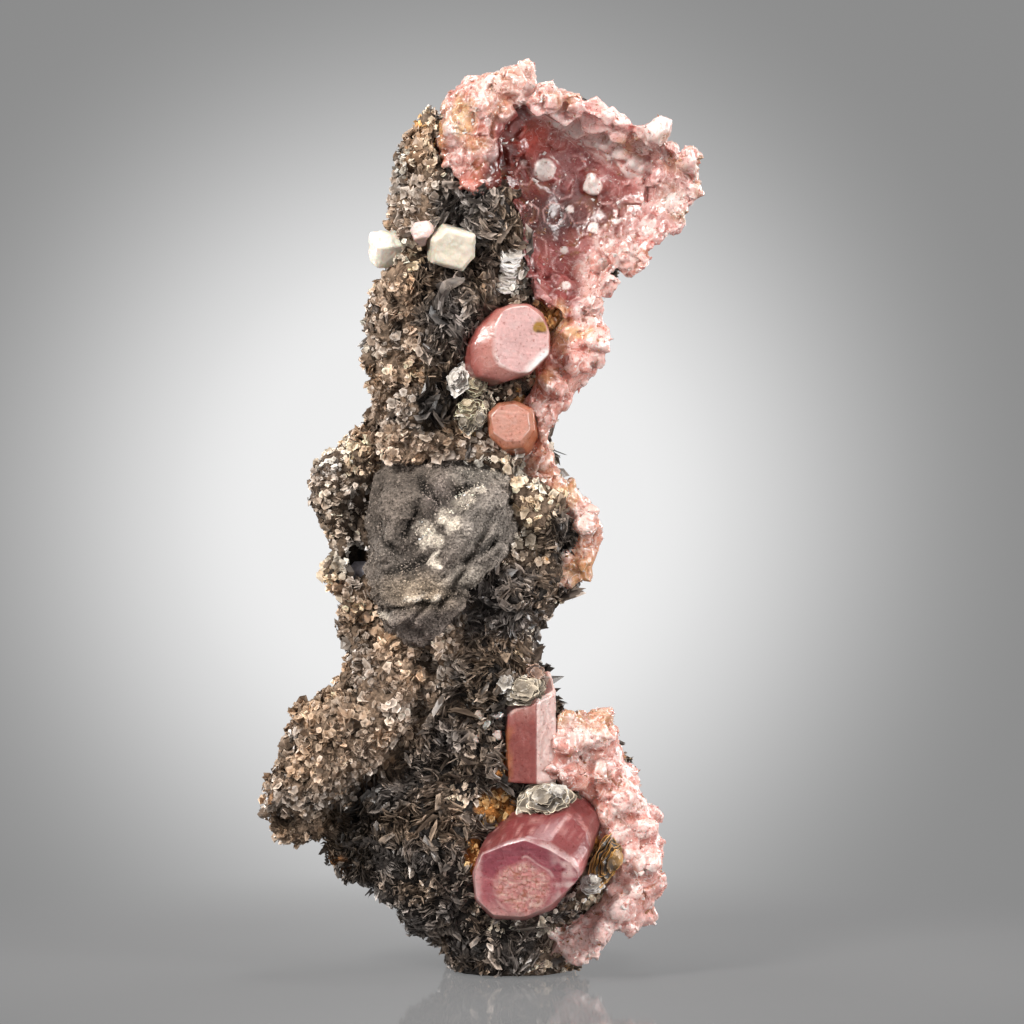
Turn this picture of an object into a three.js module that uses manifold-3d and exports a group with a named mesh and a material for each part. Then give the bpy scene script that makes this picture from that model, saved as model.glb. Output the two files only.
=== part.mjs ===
// A cabinet mineral specimen: pink apatite crystals and crusts grown on a ragged column of
// muscovite mica, with a slab of fine grey mica, white albite crystals and silvery mica books.
// Lengths are in millimetres, +Z is up and -Y is the display side.
// The origin is the middle of the flat that the specimen stands on.
import * as THREE from "three";
import { MeshSurfaceSampler } from "three/addons/math/MeshSurfaceSampler.js";
import { mergeVertices } from "three/addons/utils/BufferGeometryUtils.js";
import Module from "manifold-3d";

const wasm = await Module();
wasm.setup();

// ---- driving dimensions ----

const SEAT_GAP = 0.3; // clearance between a piece and the seat it sits in
const BURIED = 1; // how far the column runs below the flat before it is cut off

// The mica column: height, then how far it reaches left, right, forward and back.
const COLUMN = [
  [-BURIED, -9, 9, -11, 11],
  [1.5, -9.3, 9.8, -11.5, 12],
  [5.5, -12, 12.5, -12, 13.5],
  [10.5, -16, 17, -13, 14.5],
  [16, -18.5, 19.5, -13.5, 15.5],
  [22, -19, 20, -13.5, 16],
  [29, -20.5, 17, -13, 16],
  [36, -20.5, 10.5, -13, 15.5],
  [43, -18, 5, -12.5, 14.5],
  [50, -18.5, 3, -12.5, 14.5],
  [58, -20, 6.5, -13, 15],
  [65, -20.5, 10.5, -13.5, 15.5],
  [72, -20.5, 8.5, -13.5, 15.5],
  [79, -20, 5, -12.5, 15],
  [86, -18.5, 5.5, -11.5, 14.5],
  [93, -17, 9, -11, 15],
  [100, -16, 9.5, -10.5, 15.5],
  [108, -15, 14.5, -9.5, 15.5],
  [115, -14, 21, -8.5, 14.5],
  [122, -13, 22, -6.5, 12.5],
  [127.5, -10.5, 15, -3.5, 9.5],
  [130.5, -6, 7, 0, 7.5],
];
const SQUARENESS = 2.5; // of the column's sections: 2 is an ellipse, and more is squarer
const COLUMN_RINGS = 31;
const COLUMN_AROUND = 22;
const LUMP_BLEND = 1.5; // how far the corner between two swellings is rounded
const COARSE_RELIEF = { height: 1, size: 8 }; // of the column's skin
const FINE_RELIEF = { height: 0.9, size: 3.4 };
const RELIEF_STARTS = 5; // height by which the relief is full, so that the foot stays true

// Swellings of the column's own skin: centre, then radii.
const LUMPS = [
  { name: "dark hip", at: [-19.8, -5.5, 21.6], radii: [8.2, 6.5, 7.6] },
  { name: "hip foot", at: [-11.6, -4, 11], radii: [6, 6, 5.5] },
  { name: "dark belly", at: [-10.5, -7, 18], radii: [11.5, 8.6, 11] },
  { name: "dark waist", at: [-2, -9, 44], radii: [6, 6, 8] },
  { name: "folded sheets", at: [1.4, -10.5, 57], radii: [6.6, 6.5, 5] },
  { name: "right cheek", at: [6, -7.5, 66.5], radii: [5.6, 7, 7] },
  { name: "brow over the slab", at: [-13, -10.5, 83], radii: [8, 6.5, 4.6] },
  { name: "stem middle", at: [-9, -9.5, 97], radii: [7.5, 6.2, 8] },
  { name: "dark head", at: [-3.8, -10.5, 113], radii: [6.2, 6, 6] },
  { name: "seat of the upper book", at: [-1.5, -9.5, 104.5], radii: [4.6, 4.8, 4.6] },
  { name: "back boss low", at: [8, 11, 22], radii: [14, 10, 13] },
  { name: "back boss middle", at: [0, 12, 60], radii: [11, 7, 14] },
  { name: "back boss high", at: [8.5, 10, 112], radii: [12, 9.5, 12] },
];

// Ridges that stand off the column's left side, each a round bead: a line of points with a radius at each.
const SHOULDER = [
  { at: [-18, -5.5, 88], radius: 2.6 },
  { at: [-19.8, -5.2, 83.5], radius: 3 },
  { at: [-24, -5, 78], radius: 4.8 },
  { at: [-25.2, -5, 71], radius: 5.2 },
  { at: [-22.8, -5, 65.6], radius: 4 },
  { at: [-23.4, -5.5, 60.4], radius: 4.2 },
  { at: [-21.2, -6, 54], radius: 4.2 },
  { at: [-19.5, -7, 48], radius: 5 },
];
const LOBE = [
  { at: [-14, -8.5, 52], radius: 6.4 },
  { at: [-18.6, -8.8, 45], radius: 6.5 },
  { at: [-24.6, -8, 37.4], radius: 7.5 },
  { at: [-29.6, -6.6, 30.6], radius: 7.3 },
  { at: [-31.8, -5.6, 24.6], radius: 5.8 },
  { at: [-30.4, -5, 19.4], radius: 4.8 },
];
const STEM = [
  { at: [-16, -7, 83], radius: 5 },
  { at: [-17, -7.5, 91], radius: 4.8 },
  { at: [-17.2, -8, 99], radius: 4.4 },
  { at: [-14.6, -9, 107], radius: 4.5 },
  { at: [-14, -8.6, 115], radius: 5 },
  { at: [-12.6, -7.4, 123], radius: 4.6 },
  { at: [-11, -6, 129], radius: 3.6 },
];

// A small hole that runs right through the column, front to back.
const PIERCING = { at: [-22.9, 60.6], radius: 1.7, length: 60, slant: 0.12 };

// Thick books of mica that stand out of the column, most of them on its front.
const BOOKS_ON_COLUMN = 16;
const BOOKS_BEHIND = 0.3; // the share that stays of those that fall on the back

// The open vug at the top of the upper crust: its rim, as left-right and height.
const VUG_RIM = [
  [29.4, 122],
  [24.4, 124.9],
  [20.8, 127],
  [16.8, 128.8],
  [12, 130.6],
  [6, 132],
  [0.6, 131.5],
  [-2.4, 128],
  [-3.2, 122.3],
  [-0.8, 117.5],
  [1.8, 114],
  [1.8, 108.8],
  [2.6, 103.5],
  [5.3, 99.8],
  [9, 98.4],
  [12.6, 100],
  [15.9, 103.4],
  [21.2, 108.2],
  [26.6, 114],
  [29, 118.4],
];
const VUG_CENTRE = [9, 117];
const VUG_FLOOR_Y = -1; // where the bottom of the hollow lies, front to back
const VUG_RIM_Y = -11.5;
const VUG_WALL = 5.5;
const VUG_MOUTH_Y = -30; // how far forward the space in front of the vug is kept open
const VUG_RINGS = 12;
const VUG_AROUND = 20;
const FIRST_SHARE = 0.06; // how far out the innermost ring of the vug or the slab lies

// Ridges of crust, beads as well.
const LEFT_FLAP = [
  { at: [-7, -7.5, 121], radius: 3.4 },
  { at: [-7.8, -9, 126], radius: 4.2 },
  { at: [-3.8, -8.6, 130.8], radius: 4.3 },
  { at: [0.4, -6.6, 134.4], radius: 3.4 },
  { at: [1.4, -5.4, 138], radius: 2 },
];
const UNDER_VUG = [
  { at: [11.4, -8.5, 101.5], radius: 2.6 },
  { at: [11, -7.5, 97.8], radius: 3.6 },
  { at: [10, -7.5, 94], radius: 4.8 },
  { at: [6.8, -8.5, 88.5], radius: 3.6 },
  { at: [4.2, -9, 83], radius: 2.9 },
  { at: [3.4, -8.8, 79], radius: 2.7 },
];
const SIDE_STRIP = [
  { at: [2.8, -8.6, 79.4], radius: 2.7 },
  { at: [4.8, -7.6, 75.6], radius: 2.5 },
  { at: [7.6, -6.8, 72], radius: 2.5 },
  { at: [11, -6, 67.6], radius: 2.9 },
  { at: [10.4, -5.6, 63], radius: 2.8 },
  { at: [8.8, -5, 58.8], radius: 2 },
];
const LOWER_CRESCENT = [
  { at: [8.8, -7, 40], radius: 2.8 },
  { at: [11.6, -7.4, 36.4], radius: 4.3 },
  { at: [12.4, -7.8, 31.6], radius: 4.2 },
  { at: [15, -8.2, 26.2], radius: 4.3 },
  { at: [18.4, -8.8, 20.6], radius: 4.8 },
  { at: [18.8, -9.4, 14.6], radius: 4.5 },
  { at: [16.2, -9.6, 9.2], radius: 4.2 },
  { at: [11, -9, 6.2], radius: 3.3 },
  { at: [7.4, -8, 4.8], radius: 2.2 },
];

// The bigger crystals of each crust: left-right, height and radius. Each stands on the crust's front.
const UPPER_CRUST_CRYSTALS = [
  // along the rim of the vug, from its top left round to its foot
  [6.5, 130, 2.2],
  [15.4, 127.4, 2.9],
  [21, 126, 2.4],
  [26.6, 121.6, 2],
  [21, 112, 2.1],
  [13.5, 106.6, 2],
  [7.5, 103.5, 2.1],
  // in the hollow
  [5.3, 120.5, 2],
  [12.9, 118.5, 1.8],
  // on the left flap and its tuft
  [-4.4, 126.4, 2.1],
  [-5, 130.8, 2.4],
  [-1.3, 133.4, 2.1],
  [1.2, 136.6, 1.4],
  // under the vug and down the side strip
  [13, 96, 2.6],
  [10, 91.5, 2.2],
  [12, 68, 1.8],
  [11.4, 62.4, 1.7],
];
const LOWER_CRUST_CRYSTALS = [
  [12.6, 36, 2.2],
  [13.4, 30.8, 2.1],
  [16.2, 26.2, 1.9],
  [20.3, 22.6, 1.9],
  [20.8, 17.6, 2.3],
  [17.2, 10.4, 2],
  [13.4, 7.4, 1.9],
];

// Single apatite crystals: the middle of the end face, the way it points and its size.
const UPPER_CRYSTAL = {
  tip: [0.9, -18.4, 95.4],
  axis: [0.2, -0.95, 0.12],
  radius: 5.9,
  length: 12,
  bevel: 1.9,
  turn: 0.35,
};
const ORANGE_CRYSTAL = {
  tip: [0.4, -15.2, 82.6],
  axis: [-0.1, -0.95, 0.2],
  radius: 3.5,
  length: 8,
  bevel: 0.9,
  turn: 0.1,
};
const LARGE_CRYSTAL = {
  tip: [2.4, -20.8, 15],
  axis: [-0.16, -0.93, -0.25],
  radius: 8.3,
  length: 15,
  bevel: 1.8,
  turn: 0.3,
};
const STANDING_PRISM = {
  tip: [3.2, -11.2, 44.2],
  axis: [0.05, 0.1, 0.99],
  radius: 4.3,
  length: 14.6,
  bevel: 0.6,
  turn: 0.62,
};

// The slab of fine grey mica on the front: its edge, as left-right and height.
const SLAB_EDGE = [
  [-20.5, 76],
  [-13.5, 78.2],
  [-6, 78],
  [-0.8, 76.5],
  [0.9, 71],
  [0.8, 65],
  [-3, 60.4],
  [-6.8, 57.6],
  [-8.4, 52.4],
  [-13.4, 49.8],
  [-18.2, 51],
  [-20.8, 56.2],
  [-21.2, 62],
  [-22, 68],
];
const SLAB_CENTRE = [-11, 64.5];
const SLAB_FRONT_Y = -19;
const SLAB_BACK_Y = -11;
const SLAB_RINGS = 11;
const SLAB_AROUND = 20;
const SLAB_FOLDS = { height: 0.8, slant: [0.67, -0.6] }; // slant: radians per millimetre, across and up

// Albite: an outline across the crystal, its length, where its outer end is and how it points.
const ALBITE_OUTLINE = [
  [-2.5, -1.9],
  [1.4, -2.4],
  [2.6, -0.6],
  [2.3, 1.9],
  [-1.3, 2.4],
  [-2.7, 0.7],
];
const ALBITES = [
  { name: "albite_left", end: [-20.4, -11, 108.6], axis: [-0.92, -0.36, -0.1], scale: 0.8, length: 6 },
  { name: "albite_right", end: [-8.2, -17.8, 108.9], axis: [0.12, -0.98, -0.1], scale: 1.08, length: 6.5 },
  { name: "albite_chip", end: [-13.2, -16.6, 111.8], axis: [-0.3, -0.9, 0.3], scale: 0.52, length: 3 },
];

const SHEET = 1.2; // thickness of one sheet of the stacks
// Stacks of silvery mica: the middle of the front sheet, the way it faces, its radius and how many.
const BOOKS = [
  { name: "mica_book_upper", at: [0.4, -15.6, 104.7], axis: [0.75, -0.62, 0.1], radius: 2.9, sheets: 2 },
  { name: "mica_book_middle", at: [-6.8, -16, 88], axis: [-0.3, -0.9, 0.25], radius: 2.8, sheets: 2 },
  { name: "mica_book_lower", at: [5.4, -19, 27.2], axis: [-0.05, -0.72, 0.68], radius: 4.3, sheets: 3 },
  { name: "mica_book_side", at: [12, -16.6, 14.6], axis: [0.45, -0.75, 0.35], radius: 3.3, sheets: 2 },
  { name: "mica_book_brow", at: [1.6, -15.4, 43], axis: [-0.2, -0.8, 0.5], radius: 2.9, sheets: 2 },
];

// ---- seeded chance and smooth noise ----

function seededRandom(seed) {
  let state = seed;
  return () => {
    state = (Math.imul(state, 1664525) + 1013904223) >>> 0;
    return state / 2 ** 32;
  };
}

function latticeValue(i, j, k) {
  const mixed = Math.sin(i * 127.1 + j * 311.7 + k * 74.7) * 43758.5453;
  return mixed - Math.floor(mixed);
}

// Smooth value noise from -1 to 1 at a point, with lumps about `size` across.
function noise(point, size) {
  const scaled = point.toArray().map((c) => c / size);
  const cell = scaled.map(Math.floor);
  const ease = scaled.map((c, axis) => c - cell[axis]).map((t) => t * t * (3 - 2 * t));
  let sum = 0;
  for (let corner = 0; corner < 8; corner++) {
    const bits = [corner & 1, (corner >> 1) & 1, corner >> 2];
    const weight = bits.reduce((w, bit, axis) => w * (bit ? ease[axis] : 1 - ease[axis]), 1);
    sum += weight * latticeValue(...cell.map((c, axis) => c + bits[axis]));
  }
  return 2 * sum - 1;
}

// ---- geometry and solids ----

// A solid from a closed geometry, turned the right way out.
function solidOf(geometry) {
  const bare = geometry.index ? geometry.toNonIndexed() : geometry.clone();
  bare.deleteAttribute("normal");
  bare.deleteAttribute("uv");
  const merged = mergeVertices(bare, 1e-4);
  const build = (triVerts) =>
    new wasm.Manifold(
      new wasm.Mesh({ numProp: 3, vertProperties: merged.attributes.position.array, triVerts }),
    );
  const made = build(new Uint32Array(merged.index.array));
  return made.volume() > 0 ? made : build(new Uint32Array(merged.index.array).reverse());
}

function geometryOf(solid) {
  const { vertProperties, triVerts } = solid.getMesh();
  return new THREE.BufferGeometry()
    .setAttribute("position", new THREE.BufferAttribute(new Float32Array(vertProperties), 3))
    .setIndex(new THREE.BufferAttribute(new Uint32Array(triVerts), 1));
}

// The biggest of the bodies that a cut leaves; the crumbs are dropped.
function largestBody(solid) {
  return solid.decompose().reduce((best, body) => (body.volume() > best.volume() ? body : best));
}

// A closed skin over rings of points: `place(u, v)` gives the point on ring u at turn v, both 0 to 1.
// Each end closes on the middle of its last ring.
function skin(place, rings, around) {
  const points = [];
  for (let i = 0; i < rings; i++)
    for (let j = 0; j < around; j++) points.push(place(i / (rings - 1), j / around));
  const middle = (ring) =>
    ring.reduce((sum, p) => sum.add(p), new THREE.Vector3()).divideScalar(around);
  points.push(middle(points.slice(0, around)), middle(points.slice(-around)));
  const [firstPole, lastPole] = [points.length - 2, points.length - 1];
  const faces = [];
  for (let j = 0; j < around; j++) {
    const next = (j + 1) % around;
    faces.push(firstPole, next, j);
    faces.push(lastPole, (rings - 1) * around + j, (rings - 1) * around + next);
    for (let i = 0; i < rings - 1; i++) {
      const [a, b] = [i * around + j, i * around + next];
      faces.push(a, b, a + around, b, b + around, a + around);
    }
  }
  return new THREE.BufferGeometry().setFromPoints(points).setIndex(faces);
}

// A six-sided prism with a bevelled outer end; `tip` is the middle of the end face.
function hexagonalCrystal({ tip, axis, radius, length, bevel, turn = 0 }, grow = 0) {
  const edge = radius + grow;
  const end = bevel ? [[edge, grow - bevel], [edge - 1.1 * bevel, grow]] : [[edge, grow]];
  const profile = [[0, -length - grow], [edge, -length - grow], ...end, [0, grow]];
  const prism = new THREE.LatheGeometry(profile.map(([x, y]) => new THREE.Vector2(x, y)), 6, turn);
  const direction = new THREE.Vector3(...axis).normalize();
  prism.applyQuaternion(new THREE.Quaternion().setFromUnitVectors(new THREE.Vector3(0, 1, 0), direction));
  return solidOf(prism.translate(...tip));
}

// A stack of six-sided mica sheets, each a little out of line with the one before it.
function micaBook({ at, axis, radius, sheets }, grow = 0) {
  const direction = new THREE.Vector3(...axis).normalize();
  const stack = [];
  for (let n = 0; n < sheets; n++) {
    const slip = new THREE.Vector3(Math.sin(n * 2.1), Math.cos(n * 1.7), Math.sin(n * 3.3));
    slip.multiplyScalar(0.07 * radius);
    const middle = new THREE.Vector3(...at).addScaledVector(direction, -n * SHEET).add(slip);
    const sheet = { tip: middle.toArray(), axis, length: 1.2 * SHEET, bevel: 0, turn: 0.3 * n };
    stack.push(hexagonalCrystal({ ...sheet, radius: radius * (1 + 0.08 * n) }, grow));
  }
  return wasm.Manifold.union(stack);
}

// A round bead along a smooth line, swelling and narrowing as its radii say.
function bead(stations, grow = 0, { around = 8, rough = 0.5 } = {}) {
  const line = new THREE.CatmullRomCurve3(stations.map(({ at }) => new THREE.Vector3(...at)));
  const radii = new THREE.SplineCurve(stations.map(({ radius }, i) => new THREE.Vector2(i, radius)));
  const place = (u, v) => {
    const across = new THREE.Vector3(0, 1, 0).cross(line.getTangent(u)).normalize();
    const out = line.getTangent(u).cross(across).normalize();
    const rounding = Math.sqrt(Math.max(0.12, 1 - (2 * u - 1) ** 8));
    const reach = radii.getPoint(u).y * rounding;
    const turn = 2 * Math.PI * v;
    const centre = line.getPoint(u);
    const point = centre.clone().addScaledVector(across, reach * Math.cos(turn));
    point.addScaledVector(out, reach * Math.sin(turn));
    return point.addScaledVector(point.clone().sub(centre).normalize(), grow + rough * noise(point, 3));
  };
  return solidOf(skin(place, 2 * stations.length + 2, around));
}

// How far it is from `centre` to the outline along the angle `turn`, for an outline seen whole from it.
function reachOf(outline, centre, turn) {
  const [dx, dz] = [Math.cos(turn), Math.sin(turn)];
  for (let i = 0; i < outline.length; i++) {
    const [ax, az] = outline[i].map((c, axis) => c - centre[axis]);
    const [bx, bz] = outline[(i + 1) % outline.length].map((c, axis) => c - centre[axis]);
    const spread = dx * (bz - az) - dz * (bx - ax);
    const along = (ax * (bz - az) - az * (bx - ax)) / spread;
    const share = (ax * dz - az * dx) / spread;
    if (along > 0 && share >= 0 && share <= 1) return along;
  }
  throw new Error("the outline isn't seen whole from its centre");
}

// ---- the upper crust: the vug, its flap, and the ridges below it ----

// A point of the vug's floor: `share` is how far out it lies, 0 in the middle and 1 on the rim.
function vugFloor(share, turn) {
  const reach = share * reachOf(VUG_RIM, VUG_CENTRE, turn);
  const depth = VUG_RIM_Y + 2.5 * Math.cos(turn - 0.7) - 1.5 * Math.sin(turn) - VUG_FLOOR_Y;
  const [x, z] = [VUG_CENTRE[0] + reach * Math.cos(turn), VUG_CENTRE[1] + reach * Math.sin(turn)];
  const point = new THREE.Vector3(x, VUG_FLOOR_Y + depth * share ** 2.6, z);
  point.y += 0.5 * noise(point, 4);
  return { point, depth, outward: new THREE.Vector3(Math.cos(turn), 0, Math.sin(turn)) };
}

// The vug is a dish: its rings run out over its back to the rim, then in over the hollow. A grown
// dish is wider outside and narrower in the hollow.
function vugDish(grow = 0) {
  const place = (u, v) => {
    const hollow = u > 0.5;
    const share = Math.min(1, FIRST_SHARE + 2.1 * (hollow ? 1 - u : u));
    const { point, depth, outward } = vugFloor(share, 2 * Math.PI * v);
    if (!hollow) point.y += VUG_WALL + depth * (share ** 3.5 - share ** 2.6);
    point.y += hollow ? -grow : grow;
    return point.addScaledVector(outward, hollow && share < 1 ? -grow : grow);
  };
  return solidOf(skin(place, VUG_RINGS, VUG_AROUND));
}

// The open space in front of the vug's floor.
function vugSpace() {
  const place = (u, v) => {
    const { point } = vugFloor(Math.min(1, FIRST_SHARE + 1.2 * u), 2 * Math.PI * v);
    if (u === 1) point.y = VUG_MOUTH_Y;
    return point;
  };
  return solidOf(skin(place, VUG_RINGS / 2 + 1, VUG_AROUND));
}

function upperCrustBody(grow = 0) {
  const ridges = [LEFT_FLAP, UNDER_VUG, SIDE_STRIP].map((stations) => bead(stations, grow));
  return wasm.Manifold.union([vugDish(grow), ...ridges]);
}

function lowerCrustBody(grow = 0) {
  return bead(LOWER_CRESCENT, grow);
}

// Stubby crystals that stand out of the front of a crust, each leaning a little its own way.
function standingCrystals(body, places, seed) {
  const chance = seededRandom(seed);
  const surface = new THREE.Mesh(geometryOf(body));
  const caster = new THREE.Raycaster();
  return places.map(([x, z, radius]) => {
    caster.set(new THREE.Vector3(x, -60, z), new THREE.Vector3(0, 1, 0));
    const [hit] = caster.intersectObject(surface);
    if (!hit) throw new Error(`no crust lies behind ${x}, ${z}`);
    const lean = new THREE.Vector3(chance() - 0.5, chance() - 1, chance() - 0.5);
    const axis = hit.face.normal.clone().addScaledVector(lean, 0.6).normalize();
    const tip = hit.point.clone().addScaledVector(axis, 0.35 * radius + 0.6 * chance());
    const length = 1.6 * radius;
    return { tip: tip.toArray(), axis: axis.toArray(), radius, length, bevel: 0, turn: chance() };
  });
}

function crust(body, crystals, grow = 0) {
  return wasm.Manifold.union([body, ...crystals.map((crystal) => hexagonalCrystal(crystal, grow))]);
}

// ---- the grey slab ----

// A thick shield with slanting folds over its face.
function greySlab(grow = 0) {
  const place = (u, v) => {
    const turn = 2 * Math.PI * v;
    const front = u > 0.5;
    const share = Math.max(FIRST_SHARE, front ? 2 * (1 - u) : 2 * u);
    const reach = (reachOf(SLAB_EDGE, SLAB_CENTRE, turn) + grow) * share;
    const [x, z] = [SLAB_CENTRE[0] + reach * Math.cos(turn), SLAB_CENTRE[1] + reach * Math.sin(turn)];
    const edgeY = (SLAB_FRONT_Y + SLAB_BACK_Y) / 2;
    const [foldX, foldZ] = SLAB_FOLDS.slant;
    const fold = SLAB_FOLDS.height * Math.sin(x * foldX + z * foldZ);
    const face = SLAB_FRONT_Y + fold + (edgeY - SLAB_FRONT_Y) * share ** 5;
    const point = new THREE.Vector3(x, front ? face - grow : SLAB_BACK_Y + grow, z);
    point.y += 0.6 * noise(point, 2.6);
    return point;
  };
  return solidOf(skin(place, SLAB_RINGS, SLAB_AROUND));
}

// ---- albite ----

function albite({ end, axis, scale, length }, grow = 0) {
  const corners = ALBITE_OUTLINE.map(([x, y]) => new THREE.Vector2(x, y).multiplyScalar(scale));
  const shape = new THREE.Shape(corners);
  const bevel = { bevelSegments: 1, bevelThickness: 0.5 * scale, bevelSize: 0.45 * scale };
  const block = new THREE.ExtrudeGeometry(shape, { depth: length, curveSegments: 1, ...bevel });
  block.translate(0, 0, -length - bevel.bevelThickness);
  block.scale(1 + grow / scale / 2, 1 + grow / scale / 2, 1 + grow / length).translate(0, 0, grow);
  const direction = new THREE.Vector3(...axis).normalize();
  block.applyQuaternion(new THREE.Quaternion().setFromUnitVectors(new THREE.Vector3(0, 0, 1), direction));
  return solidOf(block.translate(...end));
}

// ---- the muscovite column ----

// How far a level ray from `origin` along `direction` runs before it leaves a lump; 0 where it misses.
function leavesLump({ at, radii }, origin, direction) {
  const [o, d] = [origin, direction].map((v) => v.toArray());
  const from = o.map((c, axis) => (c - at[axis]) / radii[axis]);
  const step = d.map((c, axis) => c / radii[axis]);
  const dot = (p, q) => p[0] * q[0] + p[1] * q[1] + p[2] * q[2];
  const [a, b, c] = [dot(step, step), dot(from, step), dot(from, from) - 1];
  const inside = b * b - a * c;
  return inside > 0 ? Math.max(0, (Math.sqrt(inside) - b) / a) : 0;
}

// The larger of two lengths, with the corner between them rounded.
function softMax(p, q) {
  const overlap = Math.max(0, LUMP_BLEND - Math.abs(p - q)) / LUMP_BLEND;
  return Math.max(p, q) + (overlap * overlap * LUMP_BLEND) / 4;
}

// One skin over the core and its lumps: at each height and turn it reaches the farthest of them.
function columnBody() {
  const edge = (row) => new THREE.SplineCurve(COLUMN.map((r) => new THREE.Vector2(r[row], r[0])));
  const [left, right, front, back] = [1, 2, 3, 4].map(edge);
  const place = (u, v) => {
    const [l, r, f, b] = [left, right, front, back].map((curve) => curve.getPoint(u));
    const centre = new THREE.Vector3((l.x + r.x) / 2, (f.x + b.x) / 2, l.y);
    const outward = new THREE.Vector3(Math.cos(2 * Math.PI * v), Math.sin(2 * Math.PI * v), 0);
    const [halfWidth, halfDepth] = [(r.x - l.x) / 2, (b.x - f.x) / 2];
    const across = Math.abs(outward.x / halfWidth) ** SQUARENESS;
    const along = Math.abs(outward.y / halfDepth) ** SQUARENESS;
    let reach = (across + along) ** (-1 / SQUARENESS);
    for (const lump of LUMPS) reach = softMax(reach, leavesLump(lump, centre, outward));
    const point = centre.clone().addScaledVector(outward, reach);
    const layers = [COARSE_RELIEF, FINE_RELIEF];
    const relief = layers.reduce((sum, { height, size }) => sum + height * noise(point, size), 0);
    return point.addScaledVector(outward, relief * THREE.MathUtils.clamp(point.z / RELIEF_STARTS, 0, 1));
  };
  return solidOf(skin(place, COLUMN_RINGS, COLUMN_AROUND));
}

// Big flat books of mica that stick out of the column at all angles.
function booksOnColumn(body, count, seed) {
  const chance = seededRandom(seed);
  const sampler = new MeshSurfaceSampler(new THREE.Mesh(geometryOf(body)));
  sampler.setRandomGenerator(chance).build();
  const books = [];
  const [place, normal] = [new THREE.Vector3(), new THREE.Vector3()];
  while (books.length < count) {
    sampler.sample(place, normal);
    const lean = new THREE.Vector3(chance() - 0.5, chance() - 0.5, chance() - 0.5);
    const size = chance();
    if (place.z < RELIEF_STARTS || (normal.y > 0 && chance() > BOOKS_BEHIND)) continue;
    const facing = normal.clone().cross(lean).normalize().addScaledVector(normal, 0.5).normalize();
    const thickness = 0.8 + 0.6 * size;
    const tip = place.clone().addScaledVector(facing, thickness / 2);
    tip.addScaledVector(normal, 0.4 + 0.6 * size);
    const sheet = { tip: tip.toArray(), axis: facing.toArray(), length: thickness, bevel: 0 };
    books.push(hexagonalCrystal({ ...sheet, radius: 1.9 + 1.8 * size, turn: size * 6 }));
  }
  return books;
}

function underTheFlat() {
  return solidOf(new THREE.BoxGeometry(120, 80, 20).translate(0, 0, -10));
}

function piercing() {
  const [x, z] = PIERCING.at;
  const { radius, length, slant } = PIERCING;
  return hexagonalCrystal({ tip: [x, -length / 2, z], axis: [slant, -1, 0], radius, length, bevel: 0 });
}

function muscoviteColumn(neighbours) {
  const ridges = [SHOULDER, LOBE, STEM].map((stations) => bead(stations, 0, { around: 10, rough: 1.3 }));
  const core = wasm.Manifold.union([columnBody(), ...ridges]);
  const grown = wasm.Manifold.union([core, ...booksOnColumn(core, BOOKS_ON_COLUMN, 7)]);
  const taken = wasm.Manifold.union([underTheFlat(), piercing(), vugSpace(), ...neighbours]);
  return largestBody(grown.subtract(taken));
}

// ---- putting it together ----

const MATERIALS = {
  muscovite: { color: 0x5a4a3c, roughness: 0.55, metalness: 0.1 },
  grey_mica: { color: 0x6f6a66, roughness: 0.9, metalness: 0 },
  silver_mica: { color: 0xb9b09c, roughness: 0.35, metalness: 0.2 },
  apatite_crust: { color: 0xe0a6a4, roughness: 0.35, metalness: 0 },
  apatite_crystal: { color: 0xc9828a, roughness: 0.2, metalness: 0 },
  albite: { color: 0xf3efdc, roughness: 0.5, metalness: 0 },
};

const specimen = new THREE.Group();
function addPiece(name, solid, material) {
  const mesh = new THREE.Mesh(geometryOf(solid), new THREE.MeshStandardMaterial(MATERIALS[material]));
  mesh.name = name;
  specimen.add(mesh);
}

// Each kind is cut back from what grew before it: single crystals, then albite and loose books,
// then the crusts, the slab and last the column.
const CRYSTALS = {
  apatite_upper_crystal: UPPER_CRYSTAL,
  apatite_orange_crystal: ORANGE_CRYSTAL,
  apatite_large_crystal: LARGE_CRYSTAL,
  apatite_standing_prism: STANDING_PRISM,
};
const seats = [];

// `make(grow)` gives the piece's solid, grown by so much; what grew before it is cut away.
function growPiece(name, make, material) {
  const solid = make(0);
  addPiece(name, seats.length ? largestBody(solid.subtract(wasm.Manifold.union(seats))) : solid, material);
  seats.push(solid, make(SEAT_GAP));
}

for (const [name, crystal] of Object.entries(CRYSTALS))
  growPiece(name, (grow) => hexagonalCrystal(crystal, grow), "apatite_crystal");
for (const book of BOOKS) growPiece(book.name, (grow) => micaBook(book, grow), "silver_mica");
for (const piece of ALBITES) growPiece(piece.name, (grow) => albite(piece, grow), "albite");

const upperCrystals = standingCrystals(upperCrustBody(), UPPER_CRUST_CRYSTALS, 5);
const lowerCrystals = standingCrystals(lowerCrustBody(), LOWER_CRUST_CRYSTALS, 8);
growPiece(
  "apatite_upper_crust",
  (grow) => crust(upperCrustBody(grow), upperCrystals, grow),
  "apatite_crust",
);
growPiece(
  "apatite_lower_crust",
  (grow) => crust(lowerCrustBody(grow), lowerCrystals, grow),
  "apatite_crust",
);
growPiece("grey_mica_slab", greySlab, "grey_mica");
addPiece("muscovite_column", muscoviteColumn(seats), "muscovite");

export default specimen;
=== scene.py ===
"""Pink apatite on muscovite: a tall cabinet specimen of mica with apatite crystals, crusts and albite.

Each section makes one piece, or a group of like pieces, of the specimen. Lengths are in metres.
"""

import math

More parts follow.
